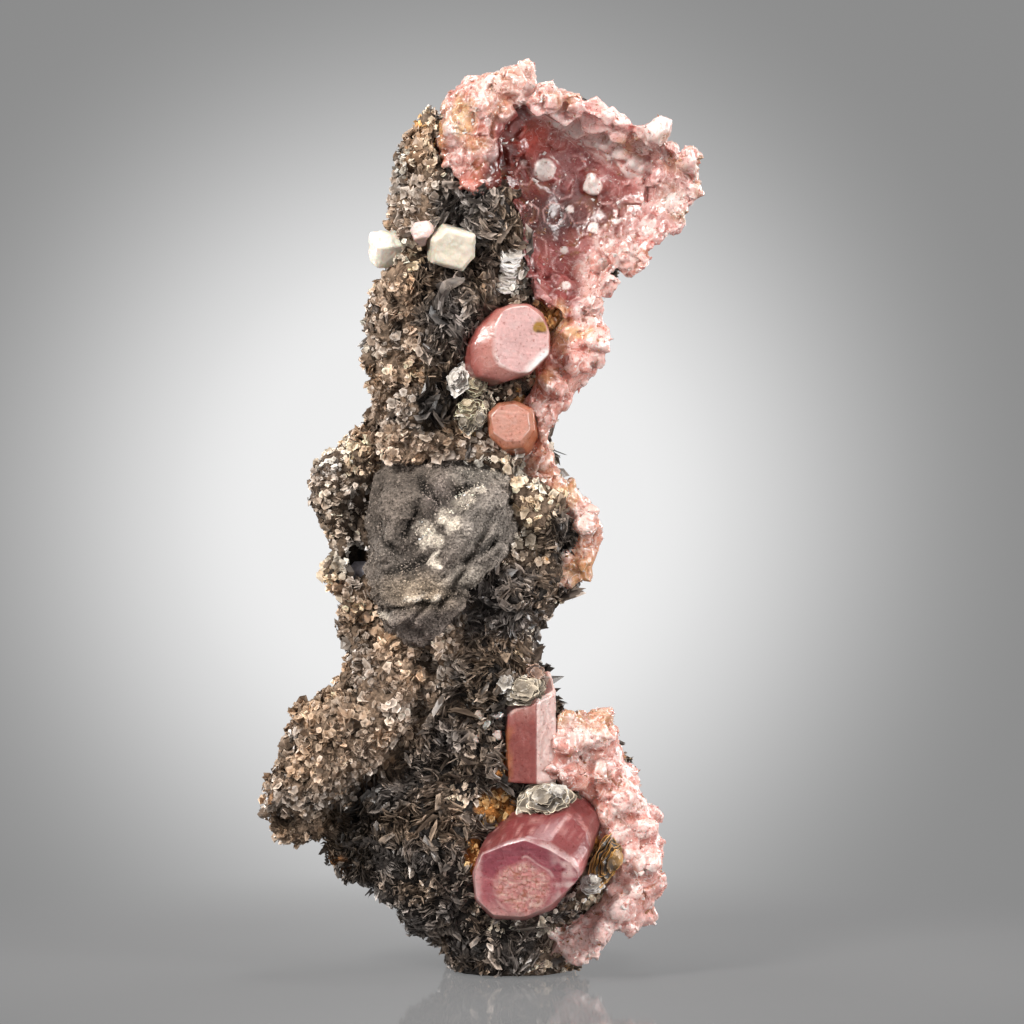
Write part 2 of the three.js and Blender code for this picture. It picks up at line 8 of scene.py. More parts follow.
import bpy
import numpy as np
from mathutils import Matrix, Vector


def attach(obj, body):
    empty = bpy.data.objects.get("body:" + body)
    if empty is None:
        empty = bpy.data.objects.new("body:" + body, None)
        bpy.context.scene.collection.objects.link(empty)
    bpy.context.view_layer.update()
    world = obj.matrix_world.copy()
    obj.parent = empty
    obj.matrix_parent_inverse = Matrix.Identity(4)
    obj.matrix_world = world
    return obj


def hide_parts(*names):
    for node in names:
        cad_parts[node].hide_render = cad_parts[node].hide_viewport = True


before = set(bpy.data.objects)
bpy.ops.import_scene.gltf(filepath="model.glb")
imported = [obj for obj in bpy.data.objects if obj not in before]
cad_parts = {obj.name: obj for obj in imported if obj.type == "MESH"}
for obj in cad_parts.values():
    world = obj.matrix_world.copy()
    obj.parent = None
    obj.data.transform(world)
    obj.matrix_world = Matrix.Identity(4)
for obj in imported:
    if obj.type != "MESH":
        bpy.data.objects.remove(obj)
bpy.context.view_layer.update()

# ---- Camera ----
# A long lens on the display side, raised a little above level and far enough off that the
# specimen's sides stay parallel in the view.

camera_look_at = Vector((0.0003, -0.004, 0.0692))
camera_distance = 0.95
camera_rise = math.radians(4)
camera_side = Vector((0, -math.cos(camera_rise), math.sin(camera_rise)))
view_width = 0.1536
sensor_width = 36

camera_data = bpy.data.cameras.new("display_camera")
camera_data.sensor_width = sensor_width
camera_data.lens = sensor_width * camera_distance / view_width
camera = bpy.data.objects.new("display_camera", camera_data)
bpy.context.scene.collection.objects.link(camera)
camera.location = camera_look_at + camera_distance * camera_side
camera.rotation_euler = (camera_look_at - camera.location).to_track_quat("-Z", "Y").to_euler()
bpy.context.scene.camera = camera

# ---- Studio ----
# Soft boxes round the specimen, a grey surround with a white glow behind the display side, and a
# small pale polished floor that fades out.

scene = bpy.context.scene
scene.view_settings.view_transform = "Standard"
scene.view_settings.look = "None"

boxes_aim_at = Vector((0, 0, 0.07))
soft_boxes = {
    "key_box": {"at": (-0.36, -0.38, 0.44), "size": 0.16, "watts": 5.2, "colour": (1.0, 0.97, 0.93)},
    "fill_box": {"at": (0.46, -0.32, 0.24), "size": 0.20, "watts": 3.2, "colour": (1.0, 0.98, 0.96)},
    "front_box": {"at": (0.06, -0.60, 0.05), "size": 0.26, "watts": 0.5, "colour": (1.0, 0.98, 0.96)},
    "top_box": {"at": (0.05, 0.02, 0.62), "size": 0.22, "watts": 2.6, "colour": (1.0, 0.99, 0.98)},
    "left_rim_box": {"at": (-0.40, 0.34, 0.20), "size": 0.24, "watts": 2.0, "colour": (1.0, 1.0, 1.0)},
    "right_rim_box": {"at": (0.42, 0.32, 0.22), "size": 0.24, "watts": 2.0, "colour": (1.0, 1.0, 1.0)},
}
for box_name, box in soft_boxes.items():
    light = bpy.data.lights.new(box_name, "AREA")
    light.shape = "SQUARE"
    light.size = box["size"]
    light.energy = box["watts"]
    light.color = box["colour"]
    lamp = bpy.data.objects.new(box_name, light)
    scene.collection.objects.link(lamp)
    lamp.location = box["at"]
    lamp.rotation_euler = (boxes_aim_at - lamp.location).to_track_quat("-Z", "Y").to_euler()


def add_node(tree, kind, inputs=None, **settings):
    """A new node of a kind in a node tree, with its settings and the values of its inputs."""
    node = tree.nodes.new(f"ShaderNode{kind}")
    for name, setting in settings.items():
        setattr(node, name, setting)
    for socket, value in (inputs or {}).items():
        node.inputs[socket].default_value = value
    return node


def link_nodes(tree, *pairs):
    """Joins each (output, input) pair of sockets in a node tree."""
    for output, socket in pairs:
        tree.links.new(output, socket)


# The glow lies round one direction. It is given as greys at shares of its width from the middle.
glow_middle = Vector((-0.0098, 1, -0.0695)).normalized()
glow_width = 0.116
glow_greys = [
    (0.0, 0.88), (0.27, 0.87), (0.38, 0.74), (0.52, 0.50), (0.66, 0.33), (0.80, 0.265), (1.0, 0.258),
]
surround_on_matt = 0.55

surround = bpy.data.worlds.new("grey_surround")
scene.world = surround
surround.use_nodes = True
tree = surround.node_tree
direction = add_node(tree, "TexCoord")
from_glow = add_node(tree, "VectorMath", {1: glow_middle}, operation="DISTANCE")
widths = add_node(tree, "Math", {1: glow_width}, operation="DIVIDE")
glow = add_node(tree, "ValToRGB")
glow.color_ramp.interpolation = "B_SPLINE"
stops = glow.color_ramp.elements
while len(stops) < len(glow_greys):
    stops.new(0.5)
for stop, (position, grey) in zip(stops, glow_greys):
    stop.position = position
    stop.color = (grey, grey, grey, 1)
light_kind = add_node(tree, "LightPath")
dimming = add_node(tree, "MapRange", {"To Min": 1.0, "To Max": surround_on_matt})
link_nodes(
    tree,
    (direction.outputs["Generated"], from_glow.inputs[0]),
    (from_glow.outputs["Value"], widths.inputs[0]),
    (widths.outputs[0], glow.inputs[0]),
    (glow.outputs["Color"], tree.nodes["Background"].inputs["Color"]),
    (light_kind.outputs["Is Diffuse Ray"], dimming.inputs["Value"]),
    (dimming.outputs["Result"], tree.nodes["Background"].inputs["Strength"]),
)

floor_reach, floor_height = 0.17, -0.0002
floor_rings, floor_around = 24, 72


def floor_disc():
    """A flat disc: the point at (u, v) lies u reaches out from the middle, v turns round it."""
    rings, around = floor_rings, floor_around
    u = np.linspace(0, 1, rings)[1:, None] * floor_reach
    v = np.linspace(0, 2 * np.pi, around, endpoint=False)[None, :]
    ring_points = np.stack([u * np.cos(v), u * np.sin(v), 0 * u * v + floor_height], -1).reshape(-1, 3)
    points = np.vstack([ring_points, [[0, 0, floor_height]]])
    turn = np.arange(around)
    after = (turn + 1) % around
    starts = around * np.arange(rings - 2)
    quads = [np.stack([k + turn, k + around + turn, k + around + after, k + after], 1) for k in starts]
    inner = np.stack([np.full(around, len(points) - 1), turn, after], 1)
    return points, np.vstack(quads).tolist() + inner.tolist()


floor_points, floor_faces = floor_disc()
floor_mesh = bpy.data.meshes.new("pale_floor")
floor_mesh.from_pydata(floor_points.tolist(), [], floor_faces)
pale_floor = bpy.data.objects.new("pale_floor", floor_mesh)
scene.collection.objects.link(pale_floor)

polished = bpy.data.materials.new("polished_pale_floor")
polished.use_nodes = True
tree = polished.node_tree
shine = tree.nodes["Principled BSDF"]
shine.inputs["Base Color"].default_value = (0.17, 0.17, 0.172, 1)
shine.inputs["Roughness"].default_value = 0.06
shine.inputs["IOR"].default_value = 1.6
clear = add_node(tree, "BsdfTransparent")
fading = add_node(tree, "MixShader")
place = add_node(tree, "TexCoord")
from_middle = add_node(tree, "VectorMath", operation="LENGTH")
fade_range = {"From Min": 0.06, "From Max": 0.125, "To Min": 0.56, "To Max": 0.0}
fade = add_node(tree, "MapRange", fade_range, interpolation_type="SMOOTHSTEP")
link_nodes(
    tree,
    (place.outputs["Object"], from_middle.inputs[0]),
    (from_middle.outputs["Value"], fade.inputs["Value"]),
    (fade.outputs["Result"], fading.inputs[0]),
    (clear.outputs[0], fading.inputs[1]),
    (shine.outputs[0], fading.inputs[2]),
    (fading.outputs[0], tree.nodes["Material Output"].inputs["Surface"]),
)
floor_mesh.materials.append(polished)

# ---- Mica ground ----
# The solid body of the column: fine muscovite packed so closely that it reads as dark brown rock.
# It grew as one mass of clumps with creases between them, and the flakes stand on it.


def lattice_value(i, j, k, seed):
    """A fixed number from 0 to 1 for each point of a whole-number lattice."""
    hashed = (i * 73856093) ^ (j * 19349663) ^ (k * 83492791) ^ (seed * 2654435761)
    hashed = (hashed ^ (hashed >> 13)) * 1274126177
    return ((hashed ^ (hashed >> 16)) & 0xFFFF) / 65535


def noise(points, size, seed=0):
    """Smooth value noise from -1 to 1: lattice values a `size` apart, eased from one to the next."""
    scaled = np.asarray(points, float) / size
    cell = np.floor(scaled).astype(np.int64)
    ease = scaled - cell
    ease = ease * ease * (3 - 2 * ease)
    total = np.zeros(len(scaled))
    for corner in range(8):
        bits = np.array([corner & 1, corner >> 1 & 1, corner >> 2])
        weight = np.prod(np.where(bits, ease, 1 - ease), axis=1)
        i, j, k = (cell + bits).T
        total += weight * lattice_value(i, j, k, seed)
    return 2 * total - 1


def even_skin(piece, voxel, smooth=0):
    """Remakes a piece's mesh as one closed skin of small even quads, and smooths it."""
    remesh = piece.modifiers.new("even_quads", "REMESH")
    remesh.mode = "VOXEL"
    remesh.voxel_size = voxel
    if smooth:
        soften = piece.modifiers.new("soften", "SMOOTH")
        soften.iterations = smooth
    graph = bpy.context.evaluated_depsgraph_get()
    finished = bpy.data.meshes.new_from_object(piece.evaluated_get(graph))
    piece.modifiers.clear()
    piece.data = finished
    finished.name = piece.name


def remeshed(node, name, voxel, smooth=0):
    """A copy of a CAD node, remade as one even skin."""
    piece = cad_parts[node].copy()
    piece.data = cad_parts[node].data.copy()
    piece.data.materials.clear()
    piece.name = piece.data.name = name
    piece.parent = None
    for key in list(piece.keys()):
        del piece[key]
    scene.collection.objects.link(piece)
    even_skin(piece, voxel, smooth)
    return piece


def points_of(piece):
    """The places of a mesh's vertices, as an array."""
    points = np.empty(len(piece.data.vertices) * 3)
    piece.data.vertices.foreach_get("co", points)
    return points.reshape(-1, 3)


def normals_of(piece):
    """The normals at a mesh's vertices, as an array."""
    normals = np.empty(len(piece.data.vertices) * 3)
    piece.data.vertices.foreach_get("normal", normals)
    return normals.reshape(-1, 3)


def set_points(piece, points):
    """Moves a mesh's vertices to these places and keeps them above the floor."""
    points[:, 2] = np.maximum(points[:, 2], 0)
    piece.data.vertices.foreach_set("co", points.ravel())
    piece.data.update()


def paint(piece, colours, domain="POINT"):
    """Stores a colour for each vertex or face of a mesh in its attribute "tint"."""
    layer = piece.data.attributes.new("tint", "FLOAT_COLOR", domain)
    layer.data.foreach_set("color", np.hstack([colours, np.ones((len(colours), 1))]).ravel())


def clamped(values):
    """The values held between 0 and 1."""
    return np.clip(values, 0, 1)


def near(points, x, z, rx, rz, soft=0.35):
    """How far inside an upright ellipse each point lies, seen from the front: 1 inside, 0 outside."""
    reach = np.hypot((points[:, 0] - x * 1e-3) / (rx * 1e-3), (points[:, 2] - z * 1e-3) / (rz * 1e-3))
    return clamped((1 + soft - reach) / (2 * soft))


def mixed(first, second, share):
    """Colours that run from the first to the second as `share` runs from 0 to 1."""
    return np.asarray(first) + (np.asarray(second) - np.asarray(first)) * np.asarray(share)[:, None]


def layered(colours, *layers):
    """Lays colours over others in turn: each layer is a colour and its share at each point."""
    for colour, share in layers:
        colours = mixed(colours, colour, share)
    return colours


def behind(points, start, over):
    """How far behind the display side each point lies: 0 at `start`, 1 from `over` further back."""
    return clamped((points[:, 1] - start) / over)


def clump_height(points):
    """How high each point lies on its clump: 0 in a crease, 1 on top. The creases run where smooth
    noise crosses zero, at two sizes, so that the clumps between them are rounded."""
    broad = np.minimum(3.0 * np.abs(noise(points, 0.0066, 1)), 1)
    small = np.minimum(3.2 * np.abs(noise(points, 0.0031, 2)), 1)
    height = 0.6 * broad + 0.4 * small
    return height * (2 - height)


def faceted(points, size, seed):
    """Flat faces over a surface, as on packed plates or crystals. Space is parted into cells round
    jittered lattice points a `size` apart, and the face of each cell is a plane tilted by chance,
    with its edge bevelled. Returns the height of the face at each point, in sizes, and how near its
    edge is: 1 on the edge, 0 away from it."""
    scaled = points / size
    cell = np.floor(scaled).astype(np.int64)
    nearest, second, height = np.full(len(points), 9.0), np.full(len(points), 9.0), np.zeros(len(points))
    for step in np.ndindex(3, 3, 3):
        i, j, k = (cell + np.array(step) - 1).T
        chance = np.stack([lattice_value(i, j, k, seed + n) for n in range(7)], 1)
        away = scaled - np.stack([i, j, k], 1) - chance[:, :3]
        off = np.linalg.norm(away, axis=1)
        face = (away * (chance[:, 3:6] - 0.5)).sum(1) + 0.25 * (chance[:, 6] - 0.5)
        face = face - 0.45 * np.maximum(off - 0.3, 0)
        closer = off < nearest
        second = np.where(closer, nearest, np.minimum(second, off))
        nearest, height = np.where(closer, off, nearest), np.where(closer, face, height)
    return height, clamped(1 - (second - nearest) / 0.08)


# Where each kind of mica grows on the display side: left-right, height, half width and half height
# in millimetres, and how strongly.
mica_places = {
    "tan": [
        (-25, 38, 12, 16, 4), (-17, 48, 8, 10, 4), (-31, 29, 8, 9, 4), (-22, 55, 6, 7, 3),
        (-18, 100, 5, 14, 2.2), (-15, 118, 4, 11, 2.4), (-12, 90, 8, 7, 1.6), (-17, 84, 7, 6, 2.5),
        (-3, 48, 5, 4, 1.2), (4, 50, 4, 5, 1.4), (5, 72, 3, 5, 1.2), (-12, 80, 10, 3, 2.4),
    ],
    "dark": [
        (-9, 22, 15, 20, 4), (-1, 46, 6, 9, 3.5), (-20, 17, 10, 8, 3.5), (-5, 9, 9, 8, 3),
        (-4, 114, 6, 7, 4), (-9, 98, 5, 9, 2.8), (-8, 88, 5, 4, 2.5), (2, 57, 6, 4, 4), (8.5, 66, 3, 4, 3),
        (-11, 104, 3, 6, 2), (-14, 110, 2, 6, 1.4), (-19, 92, 3, 10, 1.3), (-9, 60, 8, 4, 2.5),
        (-11.2, 85.5, 3, 2.6, 6),
    ],
    "grey": [
        (-25, 71, 6, 8, 4), (-22, 63, 4, 5, 2), (2, 62, 5, 5, 1.5), (-18, 78, 5, 4, 1.5),
        (-26, 26, 4, 4, 3), (-17, 112, 3, 5, 1.5), (-30, 22, 4, 3, 2.5), (-6.8, 27.5, 3, 2.4, 5),
    ],
    "pale": [
        (3, 71, 4, 6, 3), (0, 76, 5, 2.5, 2.5), (-25, 78, 5, 3, 3), (-24.5, 62, 3, 3, 2),
        (0, 47, 2.5, 2, 2), (-5, 86, 4, 4, 2.6), (0, 7, 4, 3, 2), (-12, 124, 3, 6, 1.6), (6, 53, 4, 4, 1),
        (-4, 90, 2, 2, 3), (-2, 113, 5, 2, 0.6), (1, 104, 2, 3, 2), (-7.5, 119.5, 1.3, 1.9, 3),
        (5.2, 7.6, 1.6, 1.6, 3), (-1.0, 7.8, 2.2, 1.8, 7), (-26, 61, 2.6, 3, 1.6), (-15.5, 108, 2.4, 3, 6),
        (-24.8, 54, 2.4, 3.4, 5), (2.2, 76.5, 2.6, 2.6, 6), (-2.2, 76.5, 2.6, 2.2, 5),
        (2.2, 49.5, 2.5, 3, 4), (11.2, 13.2, 2, 3, 5), (2.2, 67.5, 2.4, 3, 5), (-15.8, 121.5, 2, 3, 3),
        (-20, 94.5, 2.2, 3, 2.2),
    ],
    "rust": [
        (-15, 124, 3, 7, 2), (-9, 101, 2, 3, 1.2), (-36, 27, 2, 2.4, 2.5), (-26, 16.5, 2.4, 2.4, 3),
        (-1.8, 25.4, 3.0, 2.8, 8), (-5.5, 18.5, 1.2, 3.6, 7), (13.4, 22, 1.4, 3, 7),
        (-0.6, 31.5, 1.2, 2.4, 7), (0, 32, 2, 3, 3), (-6, 93, 3, 4, 1.6), (6.5, 97, 3, 5, 4),
        (-13, 103, 2, 3, 1), (8, 100, 2, 3, 3), (-6.5, 82, 3, 3, 1), (-19, 36, 2, 2, 2),
    ],
}
plain_share = {"tan": 1.1, "dark": 1.0, "grey": 0.5, "pale": 0.2, "rust": 0.1}


def mica_strength(points, kind):
    """How strongly a kind of mica grows at each point: its places in front, its plain share behind."""
    back = behind(points, 0.004, 0.006)
    front = sum(strong * near(points, x, z, rx, rz) for x, z, rx, rz, strong in mica_places[kind])
    return (1 - back) * front + plain_share[kind] * (0.3 + 0.9 * back)


# Where the column's outline swells or shrinks: left-right, height, half width, half height and how
# far it is pushed out, all in millimetres. Beside the slab there is also a pit, darkened with painted
# shade, and the end of the lobe is pulled in a little.
swellings = [
    (-24, 12, 8, 7, 0.4), (-28, 45, 5, 4, -1.8), (-26, 83, 6, 5, -2.0), (-21, 110, 4, 6, -1.4),
    (-22, 88, 4, 4, 0.2), (-25, 49, 3, 3, 1.2), (-36, 36, 4, 4, -1.0), (-26.5, 14.5, 4, 4, 1.1),
    (-22, 11, 3, 3, 0.8), (-17, 6.5, 3, 2, 0.8), (-14, 2, 4, 2, -0.8), (8, 48, 3, 3, -1.0),
    (-21, 119, 4, 4, -0.9), (7.5, 51, 4, 6, -1.8), (19, 31, 4, 7, -2.2), (-27, 65, 3, 3, -0.8),
]
ground_voxel = 0.00054
plate_size, plate_relief = 0.0019, 0.0012
clump_relief = 0.0023
level_foot = 0.004
pit_depth = 0.0045
lobe_end_in = 0.0010
tan_ground, dark_ground, rust_ground = (0.17, 0.118, 0.082), (0.022, 0.018, 0.016), (0.30, 0.12, 0.03)

column = remeshed("muscovite_column", "mica_ground", ground_voxel, smooth=1)
column_points, column_normals = points_of(column), normals_of(column)
clumps = clump_height(column_points)
pit = near(column_points, -22.9, 61.7, 2.0, 2.7, 0.25) * (column_normals[:, 1] < 0)
relief = clump_relief * (clumps - 0.86) + 0.0004 * noise(column_points, 0.0012, 3) - 0.0003
relief += 0.001 * sum(push * near(column_points, x, z, rx, rz) for x, z, rx, rz, push in swellings)
packed, packed_edge = faceted(column_points, plate_size, 150)
relief += plate_relief * packed
relief *= clamped(column_points[:, 2] / level_foot)
darkness = mica_strength(column_points, "dark") - mica_strength(column_points, "tan")
ground_colour = mixed(tan_ground, dark_ground, clamped(0.5 + 0.25 * darkness))
rusty_ground = clamped(0.22 * mica_strength(column_points, "rust") - 0.25)
ground_colour = mixed(ground_colour, rust_ground, rusty_ground)
# Painted shade: the ground is darkened in the creases between clumps, towards the back, and in the pit.
painted_ground_shade = (0.1 + 0.9 * clumps**1.5) * (1 - 0.5 * behind(column_points, 0, 0.006)) * (1 - 0.85 * pit)
ground_colour *= painted_ground_shade[:, None]
column_points += column_normals * relief[:, None]
column_points[:, 1] += pit_depth * pit
column_points[:, 0] += lobe_end_in * near(column_points, -38, 27, 3, 6, 0.6)
set_points(column, column_points)
# Painted light and shade by height: the higher plates are painted lighter, and their edges paler, except in
# the pit.
ground_colour *= (0.8 + 0.7 * clamped(packed + 0.5) + 1.3 * packed_edge * (1 - pit))[:, None]
paint(column, ground_colour)


def mineral(name, roughness, grain=None, bump=0.0, bump_size=0.0006, values=None):
    """A Principled material that takes its colour from the attribute "tint", mottled by fine noise.

    `grain` is how much darker and lighter the mottling goes; `bump` is the height of the roughness
    of the surface in metres, and `bump_size` how far its lumps are apart. `values` are for other
    inputs of the shader."""
    material = bpy.data.materials.new(name)
    material.use_nodes = True
    tree = material.node_tree
    shader = tree.nodes["Principled BSDF"]
    for socket, value in {"Roughness": roughness, **(values or {})}.items():
        shader.inputs[socket].default_value = value
    colour = add_node(tree, "Attribute", attribute_name="tint")
    where = add_node(tree, "TexCoord")
    speckle = add_node(tree, "TexNoise", {"Scale": 1 / bump_size, "Detail": 4})
    link_nodes(tree, (where.outputs["Object"], speckle.inputs["Vector"]))
    last = colour.outputs["Color"]
    if grain:
        mottling = {"From Min": 0.3, "From Max": 0.7, "To Min": 1 - grain, "To Max": 1 + grain}
        spread = add_node(tree, "MapRange", mottling)
        scale = add_node(tree, "VectorMath", operation="SCALE")
        link_nodes(
            tree,
            (speckle.outputs["Fac"], spread.inputs["Value"]),
            (last, scale.inputs[0]),
            (spread.outputs["Result"], scale.inputs["Scale"]),
        )
        last = scale.outputs["Vector"]
    link_nodes(tree, (last, shader.inputs["Base Color"]))
    if bump:
        lumps = add_node(tree, "Bump", {"Distance": bump})
        link_nodes(
            tree,
            (speckle.outputs["Fac"], lumps.inputs["Height"]),
            (lumps.outputs["Normal"], shader.inputs["Normal"]),
        )
    return material


packed_mica = mineral("packed_mica", 0.75, grain=0.5, bump=0.0007, values={"Specular IOR Level": 0.2})
column.data.materials.append(packed_mica)
column.data.shade_smooth()
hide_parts("muscovite_column")
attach(column, "root")

# ---- Mica flakes ----
# Thin plates of muscovite that grew in little books and fans all over the column: tan rosettes on
# the lobe and the shoulder, dark blades low down and at the waist, pale ones between.


def scattered(piece, count, rng, wanted=None):
    """Points spread evenly over a mesh by area, with the normal at each; `wanted` weights each face."""
    mesh = piece.data
    mesh.calc_loop_triangles()
    corners = np.empty(len(mesh.loop_triangles) * 3, np.int32)
    mesh.loop_triangles.foreach_get("vertices", corners)
    a, b, c = points_of(piece)[corners.reshape(-1, 3)].transpose(1, 0, 2)
    facing = np.cross(b - a, c - a)
    weight = np.linalg.norm(facing, axis=1)
    normals = facing / np.maximum(weight, 1e-15)[:, None]
    if wanted is not None:
        weight = weight * wanted((a + b + c) / 3, normals)
    picked = rng.choice(len(weight), count, p=weight / weight.sum())
    r, s = rng.random((2, count, 1))
    r = np.sqrt(r)
    return a[picked] * (1 - r) + b[picked] * r * (1 - s) + c[picked] * r * s, normals[picked]


def unit(vectors):
    """The vectors at length 1."""
    return vectors / np.maximum(np.linalg.norm(vectors, axis=-1, keepdims=True), 1e-12)


def turned(vectors, axes, angles):
    """The vectors turned about unit axes: v cos + (k x v) sin + k (k.v)(1 - cos)."""
    cos, sin = np.cos(angles)[..., None], np.sin(angles)[..., None]
    along = (axes * vectors).sum(-1, keepdims=True)
    return vectors * cos + np.cross(axes, vectors) * sin + axes * along * (1 - cos)


def plates(centre, facing, along, length, width, thickness, corners, rng):
    """Thin curled plates, sharp at the rim. Each rim corner lies at an angle round the centre, half
    a length out along `along` and half a width across it, with a little chance, and is lifted along
    `facing` by the curl, which grows as the square of how far along it is. The last two points of a
    plate are the middles of its faces, half a thickness above and below the centre."""
    count = len(centre)
    step = np.arange(corners) + rng.random((count, 1)) + 0.5 * rng.random((count, corners))
    angle = step * 2 * np.pi / corners
    reach = 1 + 0.3 * (rng.random((count, corners)) - 0.5)
    across = np.cross(facing, along)
    out = (length[:, None] / 2 * np.cos(angle) * reach)[..., None] * along[:, None]
    out = out + (width[:, None] / 2 * np.sin(angle) * reach)[..., None] * across[:, None]
    curl = 0.2 * rng.normal(size=(count, 1)) * length[:, None] * np.cos(angle) ** 2
    rim = centre[:, None] + out + curl[..., None] * facing[:, None]
    rise = thickness[:, None] / 2 * facing
    return np.concatenate([rim, (centre + rise)[:, None], (centre - rise)[:, None]], axis=1)


def plate_faces(count, corners):
    """The triangles of `count` plates: from every edge of the rim to the middle of each face."""
    turn = np.arange(corners)
    after = (turn + 1) % corners
    upper = np.stack([turn, after, np.full(corners, corners)], 1)
    under = np.stack([after, turn, np.full(corners, corners + 1)], 1)
    one = np.concatenate([upper, under]).ravel()
    shift = (corners + 2) * np.arange(count)[:, None]
    return (one[None] + shift).ravel(), np.full(2 * corners * count, 3)


def bare_piece(name, points, loops, sizes):
    """A mesh object from arrays: points, the corners of every face in turn, each face's size."""
    mesh = bpy.data.meshes.new(name)
    mesh.vertices.add(len(points))
    mesh.vertices.foreach_set("co", np.ascontiguousarray(points, np.float32).ravel())
    mesh.loops.add(len(loops))
    mesh.loops.foreach_set("vertex_index", loops.astype(np.int32))
    mesh.polygons.add(len(sizes))
    mesh.polygons.foreach_set("loop_start", (np.cumsum(sizes) - sizes).astype(np.int32))
    mesh.update(calc_edges=True)
    mesh.shade_flat()
    piece = bpy.data.objects.new(name, mesh)
    scene.collection.objects.link(piece)
    return piece


def mesh_piece(name, points, loops, sizes, colours, material, domain="FACE"):
    """A finished piece from arrays, with a colour for each face or each point."""
    piece = bare_piece(name, points, loops, sizes)
    paint(piece, colours, domain=domain)
    piece.data.materials.append(material)
    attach(piece, "root")
    return piece


# Kinds of flake: the colours of their faces, dark and light, and of their rims; the length of a
# plate, its width as a share of that, its thickness, how many plates make a book and how many
# corners each has, the room between them, how far they fan out, how far a book stands up, how alike
# its neighbours lie, and how rare its light rims are.
flake_kinds = {
    "tan": {
        "faces": [(0.055, 0.035, 0.024), (0.64, 0.46, 0.34)],
        "rims": [(0.16, 0.108, 0.075), (0.97, 0.81, 0.67)],
        "length": 0.00108, "width": 0.80, "thickness": 0.00012, "sheets": 3, "corners": 5,
        "gap": 0.00021, "fan": 0.34, "stand": 0.76, "order": 0.8, "rare": 1.6,
    },
    "dark": {
        "faces": [(0.015, 0.012, 0.011), (0.135, 0.108, 0.094)],
        "rims": [(0.016, 0.012, 0.011), (0.68, 0.57, 0.49)],
        "length": 0.0021, "width": 0.33, "thickness": 0.00010, "sheets": 4, "corners": 5,
        "gap": 0.00018, "fan": 0.07, "stand": 0.90, "order": 2.0, "rare": 3.5,
    },
    "grey": {
        "faces": [(0.10, 0.080, 0.066), (0.64, 0.53, 0.45)],
        "rims": [(0.24, 0.20, 0.17), (0.95, 0.84, 0.74)],
        "length": 0.00078, "width": 0.88, "thickness": 0.00012, "sheets": 3, "corners": 5,
        "gap": 0.00022, "fan": 0.30, "stand": 0.68, "order": 0.8, "rare": 1.8,
    },
    "pale": {
        "faces": [(0.17, 0.135, 0.10), (0.72, 0.64, 0.54)],
        "rims": [(0.40, 0.33, 0.25), (0.95, 0.89, 0.80)],
        "length": 0.00092, "width": 0.85, "thickness": 0.00013, "sheets": 3, "corners": 5,
        "gap": 0.00022, "fan": 0.26, "stand": 0.6, "order": 0.8, "rare": 1.4,
    },
    "rust": {
        "faces": [(0.12, 0.048, 0.014), (0.55, 0.27, 0.075)],
        "rims": [(0.28, 0.14, 0.045), (0.90, 0.64, 0.32)],
        "length": 0.00085, "width": 0.88, "thickness": 0.00012, "sheets": 3, "corners": 5,
        "gap": 0.00022, "fan": 0.3, "stand": 0.7, "order": 0.8, "rare": 1.6,
    },
}


def flake_kind_at(points, rng):
    """The kind of each point: the strongest of those that grow there, shaken by noise and chance."""
    names = list(flake_kinds)
    strength = np.empty((len(points), len(names)))
    for k, name in enumerate(names):
        strength[:, k] = mica_strength(points, name) + 0.35 + 0.6 * noise(points, 0.006, 40 + k)
    strength += rng.gumbel(0, 0.28, strength.shape)
    return np.array(names)[strength.argmax(1)]


flake_lowest, flake_furthest_back = 0.0001, 0.0228


